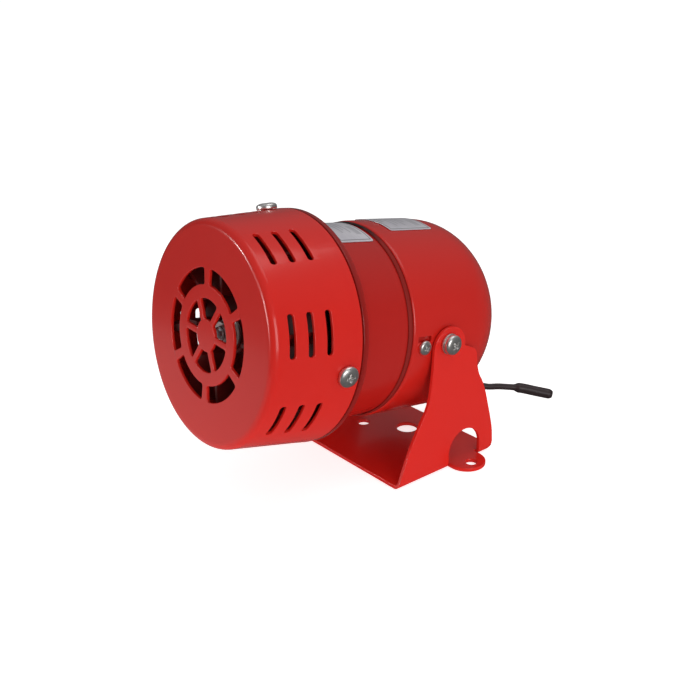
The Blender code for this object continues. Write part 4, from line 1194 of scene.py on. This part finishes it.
def add_bracket():
    plan = [(-BASE_HALF_W, BASE_FRONT), (BASE_HALF_W, BASE_FRONT),
            (BASE_HALF_W, BASE_REAR - 0.6), (BASE_HALF_W - 1.6, BASE_REAR),
            (-BASE_HALF_W + 1.6, BASE_REAR), (-BASE_HALF_W, BASE_REAR - 0.6)]
    outlines = [plan] + [circle(*hole) for hole in BASE_HOLES]
    bracket = raw("siren_bracket", prism(outlines, plan_plane, 0.0, BRACKET_SHEET))
    for side, _ in SIDES:
        join_arm(bracket, side)
        join_tab(bracket, side)
    flat = bmesh.new()
    flat.from_mesh(bracket.data)
    bmesh.ops.dissolve_limit(flat, angle_limit=math.radians(0.4), use_dissolve_boundaries=False,
                             verts=flat.verts[:], edges=flat.edges[:], delimit=set())
    flat.to_mesh(bracket.data)
    flat.free()
    dress(bracket, BRACKET_PAINT, "base_bracket", bevel=0.28,
          body="bracket", place=Matrix.Identity(4), segments=3, angle=42.0)


# ---------------------------------------------------------------- impeller
IMPELLER_R = 37.2
# (radius, station) outline of the hub and disc.
IMPELLER_PROFILE = (
    (3.1, 11.3), (6.9, 11.3), (7.5, 11.9), (7.5, 20.6), (8.1, 21.9), (9.4, 22.6),
    (IMPELLER_R - 0.4, 22.6), (IMPELLER_R, 22.9), (IMPELLER_R, 23.7), (IMPELLER_R - 0.4, 24.0),
    (9.4, 24.0), (8.1, 24.6), (7.5, 25.8), (7.5, 28.6), (7.1, 29.0), (3.1, 29.0))
VANES = 8
VANE_ROOT_R = 14.0
VANE_SWEEP_DEG = 14.0
VANE_HALF = 0.7


def vane_outline():
    """(x, z) outline of the first vane, curving as it runs outwards."""
    left, right = [], []
    for i in range(13):
        t = i / 12
        radius = VANE_ROOT_R + (IMPELLER_R - VANE_ROOT_R) * t
        a = math.radians(VANE_SWEEP_DEG * t ** 1.4)
        for line, offset in ((left, VANE_HALF), (right, -VANE_HALF)):
            line.append((radius * math.cos(a) - offset * math.sin(a),
                         radius * math.sin(a) + offset * math.cos(a)))
    return left + right[::-1]


def add_impeller():
    impeller = raw("siren_impeller", lathe_stations(IMPELLER_PROFILE, 128, closed=True))
    for k in range(VANES):
        vane = prism([vane_outline()], section_plane, y_at(5.0), y_at(22.9))
        spin(vane, 360.0 / VANES * k)
        carve(impeller, vane, "UNION")
    dress(impeller, IMPELLER_PAINT, "impeller", bevel=0.2, body="rotor",
          angle=45.0)


# ---------------------------------------------------------------- nuts
def add_nut(name, node, flats, bore, ends, place=SIREN, body="siren", material=ZINC):
    """Hexagon nut along Y between two ends; flats is the width across flats."""
    front, rear = ends
    corner_r = flats / math.cos(math.pi / 6) / 2
    nut = raw(name, prism([circle(0, 0, corner_r, 6), circle(0, 0, bore, 40)], section_plane,
                          front, rear))
    # Chamfered corners: the hexagon meets a turned cone at both ends.
    deep = (corner_r - flats / 2) * 0.75
    cone = lathe([(0.0, front - 0.01), (flats / 2 - 0.05, front - 0.01),
                  (corner_r + 0.2, front + deep + 0.2), (corner_r + 0.2, rear - deep - 0.2),
                  (flats / 2 - 0.05, rear + 0.01), (0.0, rear + 0.01)], 64)
    carve(nut, cone, "INTERSECT")
    dress(nut, material, node, bevel=0.08, body=body, place=place, angle=40.0)


def add_nuts():
    add_nut("rotor_nut", "impeller_nut", flats=8.0, bore=2.65, ends=(y_at(6.0), y_at(9.4)),
            body="rotor")
    for side, word in SIDES:
        seat = radial(facing_side(side), REAR_R - REAR_WALL - 3.6, PIVOT_STATION)
        add_nut(f"pivot_nut_{word}", f"pivot_weld_nut_{word}", flats=7.0, bore=2.15,
                ends=(0.0, 3.0), place=SIREN @ seat, material=MOTOR_STEEL)
    for i, degrees in enumerate(BOLT_DEG, start=1):
        a = math.radians(degrees)
        seat = Vector((BOLT_CIRCLE_R * math.cos(a), 0.0, BOLT_CIRCLE_R * math.sin(a)))
        node = f"through_bolt_nut_{i}"
        add_nut(f"long_bolt_nut_{i}", node, flats=5.5, bore=1.8, ends=measured(node)[:2],
                place=SIREN @ Matrix.Translation(seat * MM))


# ---------------------------------------------------------------- brush springs
COIL_TURNS, STEPS_PER_TURN = 4, 28
COIL_R, COIL_WIRE_R = 1.75, 0.28
COIL_INNER_X, COIL_OUTER_X = 16.55, 22.3


def add_brush_springs():
    steps = COIL_TURNS * STEPS_PER_TURN
    for side, word in SIDES:
        coil = []
        for i in range(steps + 1):
            a = 2 * math.pi * i / STEPS_PER_TURN
            x = COIL_INNER_X + (COIL_OUTER_X - COIL_INNER_X) * (i / steps)
            coil.append((side * x, BRUSH_Y + COIL_R * math.cos(a), COIL_R * math.sin(a)))
        spring = raw(f"coil_spring_{word}", tube(coil, [COIL_WIRE_R] * len(coil), 10))
        dress(spring, SPRING_STEEL, f"brush_spring_{word}", bevel=0.0)
        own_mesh(spring)


# ---------------------------------------------------------------- grommet and cable
# (radius, y) outline, y outwards from the dome.
GROMMET_PROFILE = (
    (1.75, -2.6), (4.4, -2.6), (4.6, -2.4), (4.6, -1.7), (4.4, -1.5), (3.3, -1.3), (3.3, 0.45),
    (4.55, 0.45), (4.8, 0.7), (4.78, 1.1), (4.6, 1.7), (4.2, 2.1), (3.4, 2.55), (2.9, 2.8),
    (2.0, 2.8), (1.75, 2.6))
CABLE_R, SLEEVE_R = 1.35, 2.2
SLEEVE_STEPS, SLEEVE_GROW_STEPS = 33, 4  # steps of the line along the end sleeve, and its taper
SLEEVE_TIP = (0.66, 0.86, 0.95)  # share of the sleeve's radius, from the last point back
OUTLET_RUN = (-5.0, 0.0, 3.4, 6.0)  # distances from the outlet along its direction
# Points of the free cable in the shared frame.
FREE_RUN = ((4.5, 45.5, 13.8), (10.3, 51.9, 10.0), (13.7, 58.5, 9.0), (18.3, 66.4, 7.5),
            (22.7, 71.5, 6.0), (27.8, 76.8, 4.5))


def add_grommet():
    grommet = raw("siren_cable_grommet", lathe(GROMMET_PROFILE, 48, closed=True))
    dress(grommet, BLACK_RUBBER, "cable_grommet", bevel=0.08,
          place=SIREN @ standing(OUTLET, OUTLET_DIR), angle=50.0)


def add_cable():
    fixed = [(SIREN @ ((OUTLET + OUTLET_DIR * reach) * MM)) / MM for reach in OUTLET_RUN]
    free = [Vector(p) for p in FREE_RUN]
    line = smooth_run(fixed + free, 14)
    sleeve_start = len(line) - 1 - SLEEVE_STEPS
    radii = []
    for i in range(len(line)):
        grow = max(0.0, min(1.0, (i - sleeve_start) / SLEEVE_GROW_STEPS))
        grow = grow * grow * (3 - 2 * grow)
        radii.append(CABLE_R + (SLEEVE_R - CABLE_R) * grow)
    for k, share in enumerate(SLEEVE_TIP):
        radii[-1 - k] = SLEEVE_R * share
    cable = raw("siren_power_cable", tube(line, radii, 24))
    cable.data.materials.append(CABLE_SHEATH)
    cable.data.shade_smooth()
    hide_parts("power_cable")
    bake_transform(cable)


# ---------------------------------------------------------------- pieces with their CAD mesh
FINISH = {
    "motor_front_bell": MOTOR_STEEL, "motor_rear_bell": MOTOR_STEEL, "motor_yoke": MOTOR_STEEL,
    "front_bush": BRONZE, "rear_bush": BRONZE, "brush_cap_left": BRONZE,
    "brush_cap_right": BRONZE, "brush_holder_left": PHENOLIC, "brush_holder_right": PHENOLIC,
    "carbon_brush_left": CARBON, "carbon_brush_right": CARBON,
    "field_coil_lower": FIELD_WIRE, "field_coil_upper": FIELD_WIRE,
    "pole_shoe_lower": LAMINATED, "pole_shoe_upper": LAMINATED, "armature_core": LAMINATED,
    "armature_winding": ARMATURE_WIRE, "commutator": COMMUTATOR, "rotor_shaft": SHAFT_STEEL,
    "impeller_washer": ZINC, "through_bolt_1": ZINC, "through_bolt_2": ZINC,
}


def finish_cad_pieces():
    for node, material in FINISH.items():
        obj = frame["nodes"][node]
        if not obj.material_slots:
            obj.data.materials.append(material)
        for slot in obj.material_slots:
            slot.material = material
        edges = obj.modifiers.new("edges", "BEVEL")
        edges.width = 0.12 * MM
        edges.segments = 2
        edges.limit_method = "ANGLE"
        edges.angle_limit = math.radians(50.0)
        edges.use_clamp_overlap = True


# ---------------------------------------------------------------- floor
SHEET_GLOW = 0.50  # bright patch of floor seen in reflections
DIM_FLOOR_GLOW = 0.10  # rest of the floor in reflections
FLOOR_BOUNCE = 0.16
WHITE_GLOW = 1.05  # far floor and backdrop as the camera sees them


def floor_paint():
    """Pale floor that runs out to white; ranges are in metres on the floor."""
    graph = Graph("floor_paint")
    tone = graph.patches(scale=0.8)
    graph.finish(Base_Color=graph.mix(tone, (0.84, 0.84, 0.845), (0.87, 0.87, 0.875)),
                 Roughness=0.8, Specular_IOR_Level=0.1)
    paint = graph.shader.outputs[0]
    x, y, _ = graph.split()
    from_centre = graph.plan_distance(x, y)
    rays = graph.nodes.new("ShaderNodeLightPath").outputs

    # Camera: pale near the siren, white far away.
    lit = graph.add_shaders(paint, graph.emission(0.72))
    far = graph.span(from_centre, (0.22, 0.60))
    for_camera = graph.mix_shaders(far, lit, graph.emission(WHITE_GLOW))

    # Reflections: a bright sheet on the floor to the front left, dim floor elsewhere.
    ahead = graph.calc("ADD", graph.calc("MULTIPLY", x, -0.80), graph.calc("MULTIPLY", y, -0.60))
    sheet = graph.calc("MULTIPLY", graph.span(ahead, (0.03, 0.10)),
                       graph.span(from_centre, (0.335, 0.375), to=(1.0, 0.0)))
    for_gloss = graph.emission(graph.span(sheet, to=(DIM_FLOOR_GLOW, SHEET_GLOW)))

    # Bounced light: plain floor, brighter near the centre and before the cup's mouth.
    from_mouth = graph.plan_distance(x, graph.calc("ADD", y, 0.095))
    near = graph.span(from_centre, (0.09, 0.17), to=(FLOOR_BOUNCE * 2.2, FLOOR_BOUNCE))
    mouth = graph.span(from_mouth, (0.03, 0.08), to=(0.80, 0.0))
    bounce = graph.add_shaders(paint, graph.emission(graph.calc("ADD", near, mouth)))

    indirect = graph.mix_shaders(rays["Is Glossy Ray"], bounce, for_gloss)
    surface = graph.mix_shaders(rays["Is Camera Ray"], indirect, for_camera)
    graph.links.new(surface, graph.nodes["Material Output"].inputs["Surface"])
    return graph.material


def add_floor():
    shape = bmesh.new()
    bmesh.ops.create_grid(shape, x_segments=8, y_segments=8, size=12.0)
    floor = raw("floor", shape)
    floor.location.z = cad_low.z - 0.0002
    floor.data.materials.append(floor_paint())


# ---------------------------------------------------------------- world
AMBIENT = 0.51
AMBIENT_FRONT = 0.42  # diffuse fill from straight ahead of the siren


def add_world():
    """Dim room in front, paler behind the object, a bright ceiling."""
    world = bpy.data.worlds.new("studio")
    bpy.context.scene.world = world
    world.use_nodes = True
    nodes, links = world.node_tree.nodes, world.node_tree.links
    nodes.clear()
    direction = nodes.new("ShaderNodeTexCoord").outputs["Generated"]

    def facing(vector, between, to):
        """Ramp on how far the view direction lies along the vector."""
        dot = nodes.new("ShaderNodeVectorMath")
        dot.operation = "DOT_PRODUCT"
        links.new(direction, dot.inputs[0])
        dot.inputs[1].default_value = vector
        ramp = nodes.new("ShaderNodeMapRange")
        links.new(dot.outputs["Value"], ramp.inputs["Value"])
        for key, value in zip(("From Min", "From Max", "To Min", "To Max"), between + to):
            ramp.inputs[key].default_value = value
        return ramp.outputs["Result"]

    def background(colour):
        node = nodes.new("ShaderNodeBackground")
        node.inputs["Color"].default_value = (*colour, 1.0)
        return node

    room = background((0.97, 0.98, 1.0))
    level = nodes.new("ShaderNodeMath")
    level.operation = "ADD"
    links.new(facing((-0.30, 0.95, 0.0), between=(-0.1, 0.75), to=(0.07, 0.14)),
              level.inputs[0])
    links.new(facing((0.0, 0.0, 1.0), between=(0.25, 0.95), to=(0.0, 0.30)), level.inputs[1])
    links.new(level.outputs[0], room.inputs["Strength"])

    fill = background((1.0, 0.99, 0.98))
    links.new(facing((0.0, -1.0, 0.0), between=(-0.2, 1.0), to=(AMBIENT, AMBIENT_FRONT)),
              fill.inputs["Strength"])

    seen = background((1.0, 1.0, 1.0))
    seen.inputs["Strength"].default_value = WHITE_GLOW

    paths = nodes.new("ShaderNodeLightPath")
    surface = room.outputs[0]
    for kind, light in (("Is Diffuse Ray", fill), ("Is Camera Ray", seen)):
        pick = nodes.new("ShaderNodeMixShader")
        links.new(paths.outputs[kind], pick.inputs[0])
        links.new(surface, pick.inputs[1])
        links.new(light.outputs[0], pick.inputs[2])
        surface = pick.outputs[0]
    links.new(surface, nodes.new("ShaderNodeOutputWorld").inputs["Surface"])


# ---------------------------------------------------------------- lights and camera
LIGHT_AIM = Vector((0.0, PIVOT.y - 0.03, PIVOT.z))  # metres
LIGHT_DISTANCE = 1.0
# Name, azimuth (0 in front, 90 to +X), elevation, width and height in metres, power in
# watts, whether it lights diffusely.
LIGHTS = (
    ("key_softbox", 76.0, 14.0, 0.50, 0.50, 3.1, True),
    ("front_strip", -20.0, 6.5, 0.045, 0.15, 1.9, False),
    ("left_strip", -41.0, 12.0, 0.045, 0.13, 1.5, False),
    ("top_softbox", 150.0, 72.0, 0.6, 0.6, 1.5, True),
)
CAMERA_AT = Vector((0.26165434, -0.22715337, 0.17904089))  # metres
CAMERA_AZIMUTH, CAMERA_ELEVATION, CAMERA_ROLL = (
    math.radians(degrees) for degrees in (50.8855081, 22.1766280, -0.8216280))
FOCAL_LENGTH = 48.235122


def away_towards(azimuth, elevation):
    """Unit vector from the object; azimuth 0 is in front (-Y), 90 degrees to +X."""
    return Vector((math.sin(azimuth) * math.cos(elevation),
                   -math.cos(azimuth) * math.cos(elevation), math.sin(elevation)))


def add_lights():
    for name, azimuth, elevation, width, height, power, diffuse in LIGHTS:
        away = away_towards(math.radians(azimuth), math.radians(elevation))
        light = bpy.data.lights.new(name, "AREA")
        light.shape = "RECTANGLE"
        light.size = width
        light.size_y = height
        light.energy = power
        obj = bpy.data.objects.new(name, light)
        bpy.context.scene.collection.objects.link(obj)
        obj.location = LIGHT_AIM + away * LIGHT_DISTANCE
        obj.rotation_euler = (-away).to_track_quat("-Z", "Y").to_euler()
        obj.visible_diffuse = diffuse


def add_camera():
    back = away_towards(CAMERA_AZIMUTH, CAMERA_ELEVATION)
    level_right = Vector((math.cos(CAMERA_AZIMUTH), math.sin(CAMERA_AZIMUTH), 0.0))
    level_up = back.cross(level_right)
    right = level_right * math.cos(CAMERA_ROLL) + level_up * math.sin(CAMERA_ROLL)
    upward = -level_right * math.sin(CAMERA_ROLL) + level_up * math.cos(CAMERA_ROLL)
    data = bpy.data.cameras.new("camera")
    data.sensor_width = 36.0
    data.lens = FOCAL_LENGTH
    data.clip_start = 0.01
    data.clip_end = 60.0
    camera = bpy.data.objects.new("camera", data)
    bpy.context.scene.collection.objects.link(camera)
    turn = Matrix((right, upward, back)).transposed().to_4x4()
    camera.matrix_world = Matrix.Translation(CAMERA_AT) @ turn
    bpy.context.scene.camera = camera


# ---------------------------------------------------------------- build
add_front_cover()
add_mid_housing()
add_rear_cover()
add_gasket()
add_labels()
add_shell_screws()
add_pivot_screws()
add_bracket()
add_impeller()
add_nuts()
add_brush_springs()
add_grommet()
add_cable()
finish_cad_pieces()
add_floor()
add_world()
add_lights()
add_camera()
bpy.context.scene.view_settings.view_transform = "Standard"
